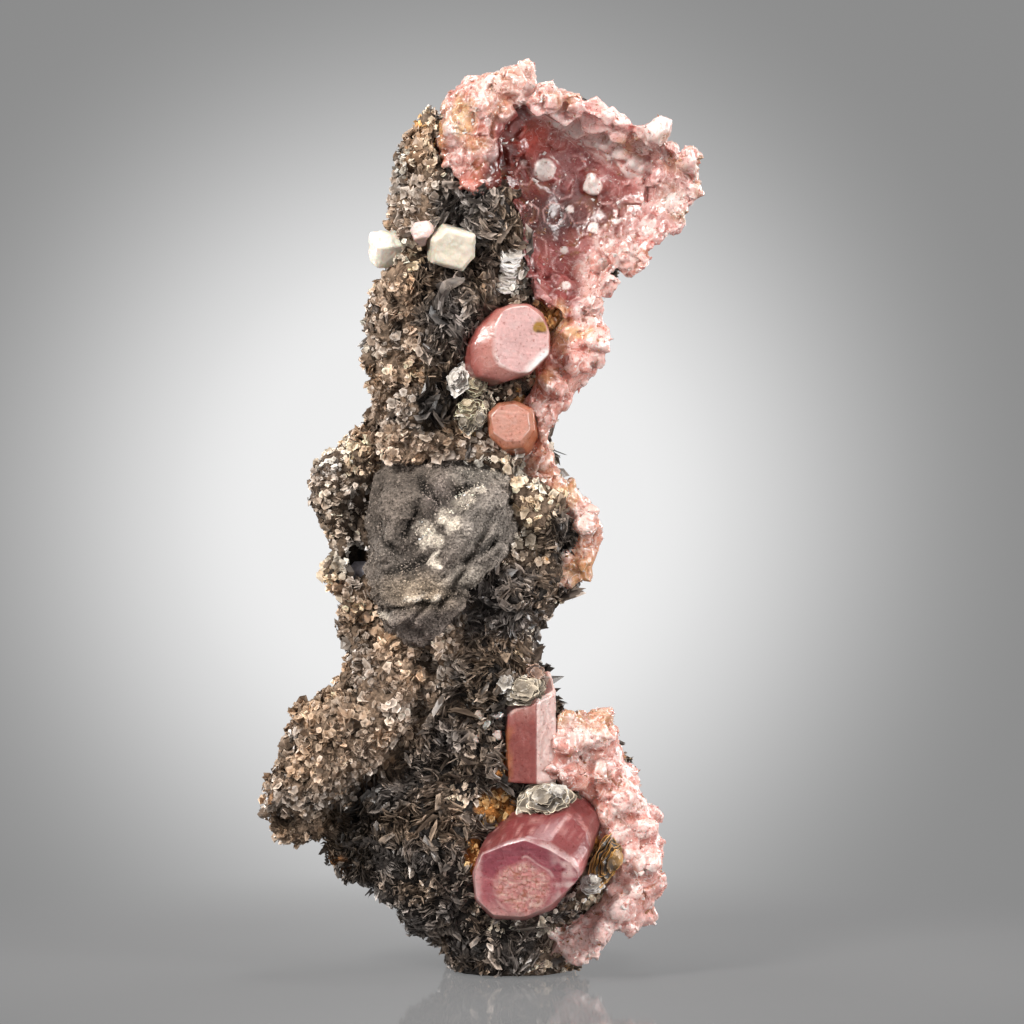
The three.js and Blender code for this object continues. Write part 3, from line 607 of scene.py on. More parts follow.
def flake_books(kind, centre, normal, rng):
    """Books of plates of one kind: each book leans away from the ground, and its plates fan out
    about an edge. Returns points, face corners, face sizes and point colours, which hold painted shade."""
    sort = flake_kinds[kind]
    count, sheets, corners = len(centre), sort["sheets"], sort["corners"]
    drift = np.stack([noise(centre, 0.0034, 31 + k) for k in range(3)], 1)
    lean = unit(sort["order"] * 2 * drift + rng.normal(size=(count, 3)))
    tangent = unit(np.cross(normal, lean))
    stand = np.clip(sort["stand"] + 0.17 * rng.normal(size=(count, 1)), 0.1, 1)
    facing = unit(tangent * stand + normal * (1 - stand))
    along = unit(np.cross(facing, unit(normal + 0.5 * rng.normal(size=(count, 3)))))
    size = np.exp(0.30 * rng.normal(size=count)) * sort["length"] * (1 + 0.35 * behind(centre, -0.001, 0.010))
    size *= np.where(on_bare_edge(centre, normal), 0.4, 1) * (1 - 0.35 * near(centre, -16, 9, 13, 12, 0.4))
    step = np.arange(sheets) - (sheets - 1) / 2
    fan = sort["fan"] * (0.5 + rng.random((count, 1))) * step
    facings = turned(np.repeat(facing[:, None], sheets, 1), along[:, None], fan)
    gap = sort["gap"] * (0.8 + 0.6 * rng.random((count, 1, 1)))
    centres = centre[:, None] + facing[:, None] * step[None, :, None] * gap
    rise = size[:, None] * (0.1 + 0.22 * rng.random((count, sheets)))
    centres = centres + normal[:, None] * rise[..., None]
    lengths = (size[:, None] * (0.75 + 0.5 * rng.random((count, sheets)))).ravel()
    widths = lengths * sort["width"] * (0.75 + 0.5 * rng.random(count * sheets))
    alongs = np.repeat(along, sheets, 0)
    thickness = sort["thickness"] * (0.7 + 0.6 * rng.random(count * sheets))
    flat_centres, flat_facings = centres.reshape(-1, 3), facings.reshape(-1, 3)
    made = plates(flat_centres, flat_facings, alongs, lengths, widths, thickness, corners, rng)
    made[..., 2] = np.maximum(made[..., 2], flake_lowest)
    made[..., 1] = np.minimum(made[..., 1], flake_furthest_back)
    tone = clamped(0.6 * np.repeat(rng.random(count), sheets) + 0.4 * rng.random(len(made)))
    face = mixed(*sort["faces"], tone**1.8)
    rim_tone = 0.7 * np.repeat(rng.random(len(made)), corners) ** sort["rare"]
    rim_tone = rim_tone + 0.3 * rng.random(len(made) * corners)
    rim = mixed(*sort["rims"], rim_tone).reshape(-1, corners, 3)
    # Painted shade: flakes are darker in the creases between clumps, under the lobe and in a few other shaded
    # places, and their warm or cool hue is multiplied by this painted shade.
    light = 0.12 + 1.15 * clump_height(centre) ** 1.4 + 0.35 * noise(centre, 0.0019, 46)
    light *= (1 - 0.82 * near(centre, -23.5, 22, 5, 7, 0.4)) * (1 - 0.4 * near(centre, -6, 45, 6, 5, 0.4))
    light *= 1 - 0.7 * near(centre, -11.2, 85.5, 3.4, 2.8, 0.3)
    light *= 1 - 0.16 * near(centre, -27, 34, 10, 15, 0.4) - 0.15 * near(centre, -34, 26, 4, 6, 0.4)
    warm = clamped(0.5 + 1.1 * noise(centre, 0.0045, 47))
    hue_and_painted_shade = mixed((0.93, 0.97, 1.02), (1.10, 0.97, 0.82), warm) * light[:, None]
    hue_and_painted_shade = np.maximum(np.repeat(hue_and_painted_shade, sheets, 0), 0.05)[:, None]
    colours = np.concatenate([rim, face[:, None], face[:, None]], 1) * hue_and_painted_shade
    return made.reshape(-1, 3), *plate_faces(len(made), corners), np.clip(colours, 0, 0.97).reshape(-1, 3)


def on_bare_edge(points, normals):
    """True on the column's right edge at the waist and behind the crusts, where flakes are short."""
    places = ((9, 54, 6, 11), (20, 32, 8, 14), (20, 102, 12, 16))
    return (sum(near(points, *place, 0.2) for place in places) > 0.3) & (normals[:, 0] > 0.1)


def open_to_flakes(points, normals):
    """True for points where flakes can stand: above the foot's edge, and out of the dark pit."""
    pit = np.hypot((points[:, 0] + 0.0229) / 0.0019, (points[:, 2] - 0.0616) / 0.0026) < 1
    return (points[:, 2] > 0.0003) & ~(pit & (normals[:, 1] < 0.3))


# The books stand closer on the display side, and a few more cover the mouth of the tunnel beside
# the slab. Each kind is one piece to a height band, where there are enough of it.
book_count, tunnel_books, fewest_books = 19000, 26, 20
tunnel_mouth, tunnel_reach = np.array([-0.0256, -0.0079, 0.0605]), [0.0014, 0.0003, 0.0019]
height_bands = {"low": (0, 0.042), "middle": (0.042, 0.086), "high": (0.086, 1)}

flake_rng = np.random.default_rng(7)
flake_centres, flake_normals = scattered(
    column, book_count, flake_rng, lambda p, n: 1 + 2.2 * clamped(-n[:, 1] + 0.35)
)
open_ground = open_to_flakes(flake_centres, flake_normals)
over_tunnel = tunnel_mouth + flake_rng.uniform(-1, 1, (tunnel_books, 3)) * tunnel_reach
flake_centres = np.vstack([flake_centres[open_ground], over_tunnel])
flake_normals = np.vstack([flake_normals[open_ground], np.tile([-0.2, -0.97, 0.1], (tunnel_books, 1))])
kinds = flake_kind_at(flake_centres, flake_rng)
mica_gloss = mineral("mica_flake", 0.38, grain=0.25, bump_size=0.0007)
for kind in flake_kinds:
    for place_words, (bottom, top) in height_bands.items():
        taken = (kinds == kind) & (flake_centres[:, 2] >= bottom) & (flake_centres[:, 2] < top)
        if taken.sum() < fewest_books:
            continue
        made = flake_books(kind, flake_centres[taken], flake_normals[taken], flake_rng)
        piece = mesh_piece(f"{kind}_flakes_{place_words}", *made, mica_gloss, domain="POINT")

# Two sheets that close the tunnel: a brown one under the flakes at its mouth, near black as painted
# shade for the tunnel's inside, and a smoky one deep in the pit. Each has its middle, the way it
# faces, the way it is longer, and its length, width and thickness.
sheet_corners = 9
sheet_middles = np.array([[-0.0254, -0.0074, 0.0605], [-0.0222, -0.0052, 0.0603]])
sheet_facing = unit(np.array([[-0.1, -1, 0], [0.1, -0.98, 0.1]]))
sheet_along = unit(np.array([[1.0, -0.1, 0], [1.0, 0.102, 0]]))
sheet_sizes = np.array([[0.0040, 0.0042], [0.0046, 0.0036], [0.0008, 0.0002]])
pit_sheets = plates(
    sheet_middles, sheet_facing, sheet_along, *sheet_sizes, sheet_corners, np.random.default_rng(13)
)
pit_colours = np.repeat([(0.05, 0.035, 0.025), (0.20, 0.19, 0.215)], sheet_corners + 2, 0)
closing_sheets = mesh_piece(
    "sheets_in_the_pit", pit_sheets.reshape(-1, 3), *plate_faces(2, sheet_corners), pit_colours,
    mica_gloss, domain="POINT",
)

# ---- Grey mica slab ----
# A slab of mica so fine that it looks like grey stone, grown on the front of the column. It is
# ribbed and cracked, with cream grains broken across it and a darker lens at its foot.


def near_line(points, start, end, width):
    """How close each point lies to a line drawn on the front: 1 on it, 0 a width or more away."""
    start, end = np.array(start) * 1e-3, np.array(end) * 1e-3
    flat = points[:, [0, 2]] - start
    share = clamped(flat @ (end - start) / ((end - start) ** 2).sum())
    off = flat - share[:, None] * (end - start)
    return clamped(1 - np.hypot(*off.T) / (width * 1e-3))


# Cracks and ledges: where each starts and ends on the front, in millimetres, and its width.
slab_cracks = [
    ((-18.5, 60.6), (-13.8, 63.0), 1.1), ((-9.0, 58.6), (-2.8, 58.4), 1.2),
    ((-19.5, 54.8), (-13, 56.6), 0.7), ((-13, 56.6), (-7.5, 57.2), 0.9), ((-8.4, 72.6), (-5.2, 74.6), 1.0),
    ((-13.2, 75.5), (-10.6, 71), 0.9), ((-16, 66), (-14.2, 70), 0.8), ((-7, 62.6), (-2, 66), 0.9),
    ((-20, 66), (-17, 64.2), 0.8),
]
# Colours of the slab seen from the front: left-right, height, half width, half height, colour.
slab_patches = [
    (-15, 73, 7, 7, (0.20, 0.163, 0.136)), (-4.2, 76, 4, 2.4, (0.40, 0.355, 0.305)),
    (-10.2, 72, 2.2, 2.6, (0.34, 0.28, 0.245)), (-3.5, 68, 5, 6, (0.27, 0.235, 0.205)),
    (-18.5, 63.5, 2.5, 4, (0.28, 0.235, 0.20)), (-13.4, 58.4, 5.2, 2.6, (0.40, 0.315, 0.235)),
    (-6, 60.4, 4, 1.8, (0.31, 0.27, 0.23)), (-12.6, 52.6, 6.8, 2.8, (0.21, 0.17, 0.148)),
]
# Clumps of cream grains, in the same way, without a colour.
cream_clumps = [
    (-12.2, 66.4, 1.5, 1.9), (-9.3, 69, 1.4, 1.3), (-6.9, 72.1, 1.3, 1.0), (-4.8, 73.6, 1.3, 0.5),
    (-11.4, 63.2, 0.8, 1.4), (-13.6, 57.6, 2.2, 0.6), (-18.6, 54.4, 1.6, 0.4),
]
cream = (0.86, 0.75, 0.63)


def patched(colours, points, patches, soft=0.5, strength=1):
    """Lays each patch of colour over the last, softened at its edge."""
    for x, z, rx, rz, colour in patches:
        colours = mixed(colours, colour, near(points, x, z, rx, rz, soft) * strength)
    return colours


def slab_tint(points):
    """The colour of the slab at each point: its patches, then the cream clumps, broken by noise."""
    colours = patched(np.tile((0.26, 0.215, 0.183), (len(points), 1)), points, slab_patches)
    crumbs = 0.6 * noise(points, 0.0008, 57) + 0.7 * noise(points, 0.0017, 59)
    for clump in cream_clumps:
        share = near(points, *clump, 0.6)
        colours = mixed(colours, cream, clamped(2.4 * share + 2.2 * crumbs * (share > 0) - 0.3))
    return colours


slab = remeshed("grey_mica_slab", "grey_slab", 0.00032, smooth=2)
slab_points, slab_normals = points_of(slab), normals_of(slab)
# Fine ribs run slantwise, and stand out most on the right block, which begins at a ledge. The main
# cracks waver, a broad valley follows the cream, and the cream stands a little proud.
across_ribs = np.array([[0.80, 0.1, -0.6], [0, 1, 0], [0.6, 0, 0.80]])
ribbed = (slab_points @ across_ribs.T) * [1, 0.8, 0.22]
past_ledge, ledge_width = slab_points[:, 0] * 0.8 - slab_points[:, 2] * 0.6 + 0.047, 0.0012
rib_strength = clamped(0.3 + 0.6 * clamped(past_ledge / ledge_width) + noise(slab_points, 0.004, 50))
ribs = noise(ribbed, 0.0009, 51) * rib_strength
slab_relief = 0.0012 * ribs + 0.0009 * noise(slab_points, 0.0034, 52)
slab_relief = slab_relief + 0.0002 * noise(slab_points, 0.0008, 54)
wavy_points = slab_points + 0.0009 * noise(slab_points, 0.0022, 56)[:, None]
crack_depth = np.max([near_line(wavy_points, *crack) for crack in slab_cracks], axis=0)
valley = near_line(slab_points, (-15, 62.5), (-4.5, 74), 3.2)
ledge = clamped((past_ledge + 0.0016 * noise(slab_points, 0.003, 55)) / ledge_width)
creamy = np.max([near(slab_points, *clump, 0.6) for clump in cream_clumps], axis=0)
slab_relief += 0.0007 * ledge - 0.0009 * crack_depth - 0.0007 * valley + 0.0007 * creamy - 0.0002
# Painted shade: the slab is darker where its relief is low, and darkest in the cracks.
shade = np.clip(0.78 + slab_relief / 0.0022, 0.3, 1.3)
slab_colour = slab_tint(slab_points) * (shade * (1 - 0.75 * crack_depth))[:, None]
set_points(slab, slab_points + slab_normals * slab_relief[:, None])
paint(slab, slab_colour)


def salt_and_pepper(material, size, darkest, lightest):
    """Makes a material grainy: every grain, `size` across, is darkened or lightened by chance."""
    tree = material.node_tree
    shader = tree.nodes["Principled BSDF"]
    where = add_node(tree, "TexCoord")
    grains = add_node(tree, "TexVoronoi", {"Scale": 1 / size})
    chance = add_node(tree, "SeparateColor")
    strength = add_node(tree, "MapRange", {"To Min": darkest, "To Max": lightest})
    scale = add_node(tree, "VectorMath", operation="SCALE")
    tinted = shader.inputs["Base Color"].links[0].from_socket
    link_nodes(
        tree,
        (where.outputs["Object"], grains.inputs["Vector"]),
        (grains.outputs["Color"], chance.inputs[0]),
        (chance.outputs[0], strength.inputs["Value"]),
        (tinted, scale.inputs[0]),
        (strength.outputs["Result"], scale.inputs["Scale"]),
        (scale.outputs["Vector"], shader.inputs["Base Color"]),
    )


fine_grey_mica = mineral(
    "fine_grey_mica", 0.75, grain=0.35, bump=0.0006, bump_size=0.0004, values={"Specular IOR Level": 0.25}
)
salt_and_pepper(fine_grey_mica, 0.0003, 0.72, 1.28)
slab.data.materials.append(fine_grey_mica)
slab.data.shade_smooth()
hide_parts("grey_mica_slab")
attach(slab, "root")

# Its outermost grains are loose enough to stand clear of it.
grain_rng = np.random.default_rng(19)
grain_count = 5200
grain_spots, grain_out = scattered(slab, grain_count, grain_rng, lambda p, n: np.clip(0.3 - n[:, 1], 0.05, 1))
grain_facing = unit(grain_out + 0.55 * grain_rng.normal(size=grain_out.shape))
grain_along = unit(np.cross(grain_facing, grain_rng.normal(size=grain_out.shape)))
grain_length = 0.00035 * np.exp(0.35 * grain_rng.normal(size=grain_count))
grain_plates = plates(
    grain_spots + 0.00006 * grain_out, grain_facing, grain_along, grain_length,
    0.8 * grain_length, 0.45 * grain_length, 4, grain_rng,
)
grain_tone = 0.85 * np.exp(0.3 * grain_rng.normal(size=(grain_count, 1)))
grain_colours = np.clip(slab_tint(grain_spots) * grain_tone, 0, 0.9)
slab_grains = mesh_piece(
    "grey_slab_grains", grain_plates.reshape(-1, 3), *plate_faces(grain_count, 4),
    np.repeat(grain_colours, 6, 0), fine_grey_mica, domain="POINT",
)

# ---- Albite ----
# Blocky cream-white feldspar with flat, slightly chipped faces and a few tan stains. Two large
# crystals and a chip stand half buried in the mica of the stem, which grew round them.

albite_white = mineral(
    "albite_white", 0.42, grain=0.08, bump=0.0002, bump_size=0.0012,
    values={"Subsurface Weight": 0.25, "Subsurface Scale": 0.001},
)
# One albite in two tones of painted light: the left crystal is painted paler to make up for the shade on its
# side, and the right one darker where more light falls on it.
albite_tints = {
    "albite_left": (0.77, 0.72, 0.62),
    "albite_right": (0.57, 0.515, 0.425),
    "albite_chip": (0.60, 0.45, 0.42),
}
for node, tint in albite_tints.items():
    albite = remeshed(node, node.replace("albite", "white_albite"), 0.0002)
    albite_points, albite_normals = points_of(albite), normals_of(albite)
    chips = 0.00016 * noise(albite_points, 0.0016, 61) + 0.00006 * noise(albite_points, 0.0005, 62)
    set_points(albite, albite_points + albite_normals * chips[:, None])
    stain = clamped(0.9 * noise(albite_points, 0.0019, 63) - 0.15)
    paint(albite, mixed(np.tile(tint, (len(albite_points), 1)), (0.72, 0.52, 0.30), stain * 0.7))
    albite.data.materials.append(albite_white)
    albite.data.shade_smooth()
    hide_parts(node)
    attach(albite, "root")

# ---- Silver mica books ----
# Bigger, paler books of muscovite: thin crinkled sheets stacked like the pages of a swollen book,
# each a little out of line with the next, some with the gold stain of iron.

# The stacks of sheets in each book: the middle of the first sheet, the way the stack faces and the
# way it is longer (all in millimetres, left-right, front-back, up), the sheets' radius, how much
# longer they are that way, how narrow the stack's waist is, how many sheets, the room between
# them, and the colours. A stack with no waist opens like a rose.
silver_books = {
    "mica_book_upper": [
        ((0.3, -14.7, 108.4), (0.16, -0.50, 0.85), (1, 0, 0), 1.75, 1.05, 0.28, 15, 0.42, "white"),
    ],
    "mica_book_middle": [
        ((-8.2, -15.8, 90.0), (-0.35, -0.9, 0.25), (0.5, 0, 1), 2.1, 1.2, 0.0, 9, 0.28, "white"),
        ((-4.9, -15.9, 89.2), (0.15, -0.95, 0.2), (1, 0, 0), 1.7, 1.1, 0.0, 9, 0.30, "honey"),
        ((-6.4, -15.4, 86.2), (-0.1, -0.8, 0.55), (1, 0, 0.2), 1.9, 1.2, 0.0, 9, 0.30, "honey"),
        ((-4.4, -15.2, 84.0), (0.2, -0.9, -0.1), (0.3, 0, 1), 1.7, 1.2, 0.0, 9, 0.28, "straw"),
        ((-7.0, -14.9, 83.4), (-0.3, -0.85, 0.2), (0, 0, 1), 1.6, 1.2, 0.0, 8, 0.28, "straw"),
    ],
    "mica_book_lower": [
        ((5.0, -18.0, 27.9), (-0.05, -0.9, 0.42), (1, 0, 0.06), 3.7, 1.26, 0.0, 15, 0.32, "straw"),
        ((7.2, -17.6, 28.9), (0.3, -0.85, 0.45), (1, 0, 0.3), 1.9, 1.2, 0.0, 8, 0.30, "silver"),
    ],
    "mica_book_side": [
        ((15.3, -15.6, 18.0), (0.3, -0.9, 0.12), (0.42, 0.1, 0.9), 2.1, 2.1, 0.0, 12, 0.34, "gold"),
        ((12.6, -15.8, 15.2), (0.1, -0.9, 0.3), (1, 0, 0.4), 1.7, 1.2, 0.0, 12, 0.34, "silver"),
    ],
    "mica_book_brow": [
        ((1.8, -16.3, 44.2), (-0.12, -0.93, 0.33), (1, 0, 0.15), 2.7, 1.3, 0.0, 12, 0.28, "straw"),
        ((-0.7, -15.8, 45.0), (-0.2, -0.9, 0.3), (0, 0, 1), 1.9, 1.2, 0.0, 9, 0.28, "silver"),
        ((3.9, -14.2, 46.0), (0.3, -0.85, 0.45), (1, 0, -0.3), 2.7, 1.1, 0.0, 10, 0.34, "brown"),
    ],
}
book_colours = {
    "white": [(0.45, 0.40, 0.35), (0.95, 0.90, 0.83)],
    "silver": [(0.26, 0.225, 0.19), (0.90, 0.84, 0.75)],
    "straw": [(0.030, 0.021, 0.015), (0.66, 0.55, 0.42)],
    "honey": [(0.07, 0.042, 0.022), (0.76, 0.62, 0.43)],
    "gold": [(0.014, 0.007, 0.003), (0.62, 0.33, 0.09)],
    "brown": [(0.05, 0.026, 0.018), (0.44, 0.27, 0.19)],
}


# The rings of points on each side of a sheet, as shares of the way out, and the points round each.
sheet_rings, sheet_around = np.array([0.4, 0.75, 0.955, 1.0]), 54


def crinkled_book(at, axis, long_way, radius, longer, waist, sheets, gap, rng):
    """A stack of closed thin sheets, their rims showing one beyond the other. On each, the point at
    (u, v) lies u of the way out to a wavy six-sided edge, v turns round it, and rises and falls
    along the axis with smooth noise. Returns the points and a shade for each."""
    axis, long_way = unit(np.array(axis, float)), np.array(long_way, float)
    side = unit(long_way - (long_way @ axis) * axis)
    other = np.cross(axis, side)
    v = np.linspace(0, 2 * np.pi, sheet_around, endpoint=False)
    u = sheet_rings[:, None]
    points, shades = [], []
    for n in range(sheets):
        turn = v + 0.12 * n
        deep = n / (sheets - 1)
        hexagon = np.cos(np.pi / 6) / np.cos(turn % (np.pi / 3) - np.pi / 6)
        ragged = noise(np.stack([3 * np.cos(v), 3 * np.sin(v), 0.35 * n + 0 * v], 1), 0.9, 76)
        reach = 1 - waist * np.sin(np.pi * deep) if waist else 0.34 + 0.66 * deep**0.85
        edge = radius * (reach + 0.06 * rng.normal()) * (hexagon + 0.20 * ragged)
        slip = 0.06 * radius * rng.normal(size=2)
        across = (longer * u * edge * np.cos(v) + slip[0])[..., None] * side
        up = (u * edge * np.sin(v) + slip[1])[..., None] * other
        flat = (np.array(at) + across + up).reshape(-1, 3)
        curl = np.repeat(sheet_rings**3, sheet_around) * noise(flat + 2.7 * n, 1.1, 73)
        rise = gap * (0.8 * noise(flat + 3.1 * n, 1.6, 70 + n) + 1.1 * curl - n)
        top = flat + rise[:, None] * axis
        sheet = np.concatenate([top, top - (0.72 if waist else 0.42) * gap * axis])
        middles = [sheet[: len(top)].mean(0), sheet[len(top):].mean(0)]
        points.append(np.concatenate([sheet, middles]))
        shades.append(np.full(len(sheet) + 2, rng.random() ** 1.3))
    return np.concatenate(points) * 1e-3, np.concatenate(shades)


def sheet_faces(sheets):
    """Faces of closed sheets made of a top and an under side, each of rings and a middle point."""
    around = sheet_around
    turn = np.arange(around)
    after = (turn + 1) % around
    side = len(sheet_rings) * around
    faces = []
    for k in range(len(sheet_rings) - 1):
        a, b = k * around, (k + 1) * around
        faces.append(np.stack([a + turn, b + turn, b + after, a + after], 1))
        faces.append(side + np.stack([a + turn, a + after, b + after, b + turn], 1))
    rim = side - around
    faces.append(np.stack([rim + turn, side + rim + turn, side + rim + after, rim + after], 1))
    quads = np.concatenate(faces)
    caps = [np.stack([np.full(around, 2 * side), turn, after], 1)]
    caps.append(np.stack([np.full(around, 2 * side + 1), side + after, side + turn], 1))
    each = 2 * side + 2
    shift = each * np.arange(sheets)[:, None]
    one = np.concatenate([quads.ravel(), np.concatenate(caps).ravel()])
    sizes = np.concatenate([np.full(len(quads), 4), np.full(2 * around, 3)])
    return (one[None] + shift).ravel(), np.tile(sizes, sheets), each


silver_gloss = mineral("silver_mica", 0.36, grain=0.2, bump=0.0001, values={"Specular IOR Level": 0.6})
book_rng = np.random.default_rng(11)
for node, stacks in silver_books.items():
    book_points, book_loops, book_sizes, book_tints, start = [], [], [], [], 0
    for *build, sheets, gap, stain in stacks:
        stack_points, shades = crinkled_book(*build, sheets, gap, book_rng)
        loops, sizes, each = sheet_faces(sheets)
        dark, light = book_colours[stain]
        speckle = 0.5 + 0.5 * noise(stack_points, 0.0009, 75)
        per_point = mixed(dark, light, clamped(0.45 * shades + 0.7 * speckle - 0.38))
        first = loops[np.cumsum(sizes) - sizes]
        in_sheet = first % each
        at_rim = in_sheet % (each // 2 - 1) >= (len(sheet_rings) - 2) * sheet_around
        at_rim = at_rim & (in_sheet < each - 2)
        patchy = clamped(0.75 + 0.8 * noise(stack_points[first], 0.0012, 77))
        rim_light = at_rim * (0.55 + 0.45 * shades[first]) * patchy
        book_tints.append(mixed(per_point[first], np.minimum(np.array(light) * 1.5, 0.95), rim_light))
        book_points.append(stack_points)
        book_loops.append(loops + start)
        book_sizes.append(sizes)
        start += len(stack_points)
    made = map(np.concatenate, (book_points, book_loops, book_sizes, book_tints))
    book = mesh_piece(f"crinkled_{node}", *made, silver_gloss)
    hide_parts(node)

# ---- Apatite crusts ----
# Pink apatite grown as continuous crusts: the upper one holds an open vug and runs down under it,
# and the lower one curves like a crescent. Their skin is a mass of low crystals grown together.

# Colours of the crusts seen from the front: left-right, height, half width, half height in
# millimetres, and the colour there. Later ones lie over earlier ones.
crust_patches = [
    (12, 129, 10, 5, (0.90, 0.56, 0.53)), (22, 115, 8, 11, (0.70, 0.40, 0.38)),
    (17, 105, 8, 5, (0.84, 0.48, 0.43)), (-6, 124, 6.5, 9, (0.54, 0.19, 0.14)),
    (-0.5, 135.5, 6, 4.5, (0.72, 0.47, 0.39)), (24.2, 116, 2.6, 2.4, (0.82, 0.62, 0.58)),
    (21.9, 126.2, 2.6, 2.6, (0.86, 0.68, 0.63)), (10.5, 94, 7, 8, (0.82, 0.42, 0.36)),
    (5, 86, 5, 4, (0.74, 0.33, 0.26)), (7.0, 90.5, 3, 3, (0.90, 0.47, 0.39)),
    (15.8, 103.5, 4, 4, (0.70, 0.35, 0.30)), (5, 77, 6, 4.5, (0.78, 0.42, 0.29)),
    (11, 68, 5, 5, (0.70, 0.37, 0.28)), (9, 61.5, 6, 5, (0.68, 0.34, 0.18)),
    # Painted light: the salmon flank at 11.5, 28 and, below, the foot at 12, 5 are painted paler to make up
    # for the shade they lie in.
    (17, 22, 9, 16, (0.85, 0.46, 0.41)), (11.5, 28, 3, 9, (0.98, 0.52, 0.42)),
    (10.5, 36, 5, 4, (0.70, 0.38, 0.31)), (7.6, 33.0, 2.4, 5.0, (0.60, 0.27, 0.22)),
    (12, 5, 9, 6.5, (1.0, 0.70, 0.66)),
]
# Iron stains on the crusts, in the same way.
crust_stains = [
    (-11.6, 128, 1.8, 6, (0.50, 0.26, 0.09)), (-1.5, 129.8, 1.6, 1.4, (0.55, 0.24, 0.13)),
    (8, 130.6, 1.4, 1.2, (0.50, 0.22, 0.11)), (17.7, 124, 1.5, 1.4, (0.66, 0.36, 0.22)),
    (26.0, 125.0, 3.4, 1.0, (0.34, 0.19, 0.09)), (28.6, 119.6, 0.9, 3.4, (0.36, 0.22, 0.10)),
    (26.4, 113.6, 2.0, 0.8, (0.40, 0.25, 0.13)), (24.6, 121.4, 1.4, 1.2, (0.72, 0.42, 0.28)),
    (7.4, 97, 1.6, 3, (0.64, 0.36, 0.17)), (4.6, 90.2, 1.8, 1.6, (0.46, 0.19, 0.07)),
    (10.6, 96.6, 1.4, 0.8, (0.70, 0.43, 0.18)), (-2.6, 84.6, 0.9, 3, (0.50, 0.22, 0.06)),
    (-7.0, 128.6, 1.6, 2.6, (0.66, 0.40, 0.20)), (-5.0, 124.2, 1.6, 1.0, (0.62, 0.30, 0.16)),
    (8.6, 131.6, 3.4, 0.7, (0.44, 0.24, 0.16)), (11.2, 59.6, 3, 2.4, (0.62, 0.31, 0.12)),
    (8.6, 72.6, 1.6, 2.2, (0.62, 0.34, 0.16)), (9, 39.6, 3, 1.6, (0.50, 0.28, 0.14)),
    (15, 38.4, 3, 1.4, (0.56, 0.31, 0.16)), (12.2, 13, 1.6, 2, (0.46, 0.21, 0.08)),
]
# Painted shadow that the flap throws into the hollow, and painted shade on the darkest parts of its floor.
flap_shadow = (0.5, 121, 5, 11, 0.6)
hollow_shades = [
    (12.4, 113.8, 5.4, 3.8, (0.20, 0.062, 0.054)),
    (5.2, 113.4, 4.6, 4.0, (0.085, 0.022, 0.020)),
]
# The flap over the hollow's left: how far right its lobed edge comes, and at what height.
flap_edge = np.array([
    (-2.4, 117), (-2.5, 119.4), (-3.2, 121.4), (-4.0, 122.8), (-2.5, 123.6), (-2.1, 124.8), (-2.6, 126.6),
    (-1.2, 128.4), (-0.3, 130),
])


def past_flap(points):
    """How far right of the flap's edge each point lies: 0 on the flap, 1 from 1 mm beyond it. Only
    beside the hollow, between 116 and 130 mm up."""
    x, _, z = points.T * 1e3
    beyond = clamped(x - np.interp(z, flap_edge[:, 1], flap_edge[:, 0]))
    return beyond * clamped(130.4 - z) * clamped(z - 116) * clamped(5 - x)


def in_vug(points):
    """How deep in the hollow each point lies: 1 on its floor, 0 at its rim and outside it. Two lines
    bound the floor, one under the top of the rim and one over its low right side; at the lower left
    it has no rim and runs out against the dark mica."""
    x, y, z = points.T * 1e3
    under_top = -0.488 * (x - 3) - 0.873 * (z - 131)
    over_low = -0.787 * (x - 20.5) + 0.617 * (z - 119)
    inside = np.minimum(under_top, over_low) + 1.6 * noise(points, 0.003, 79)
    floor = clamped(inside / 1.6) * clamped((y + 10.5) / 5) * (x > -4) * (z > 97)
    open_side = near(points, 1.5, 111, 4, 9, 0.3) + near(points, 5.5, 102, 4.5, 5, 0.3)
    low_left = clamped(open_side) * (y < 2)
    return np.maximum(np.maximum(floor, low_left), past_flap(points))


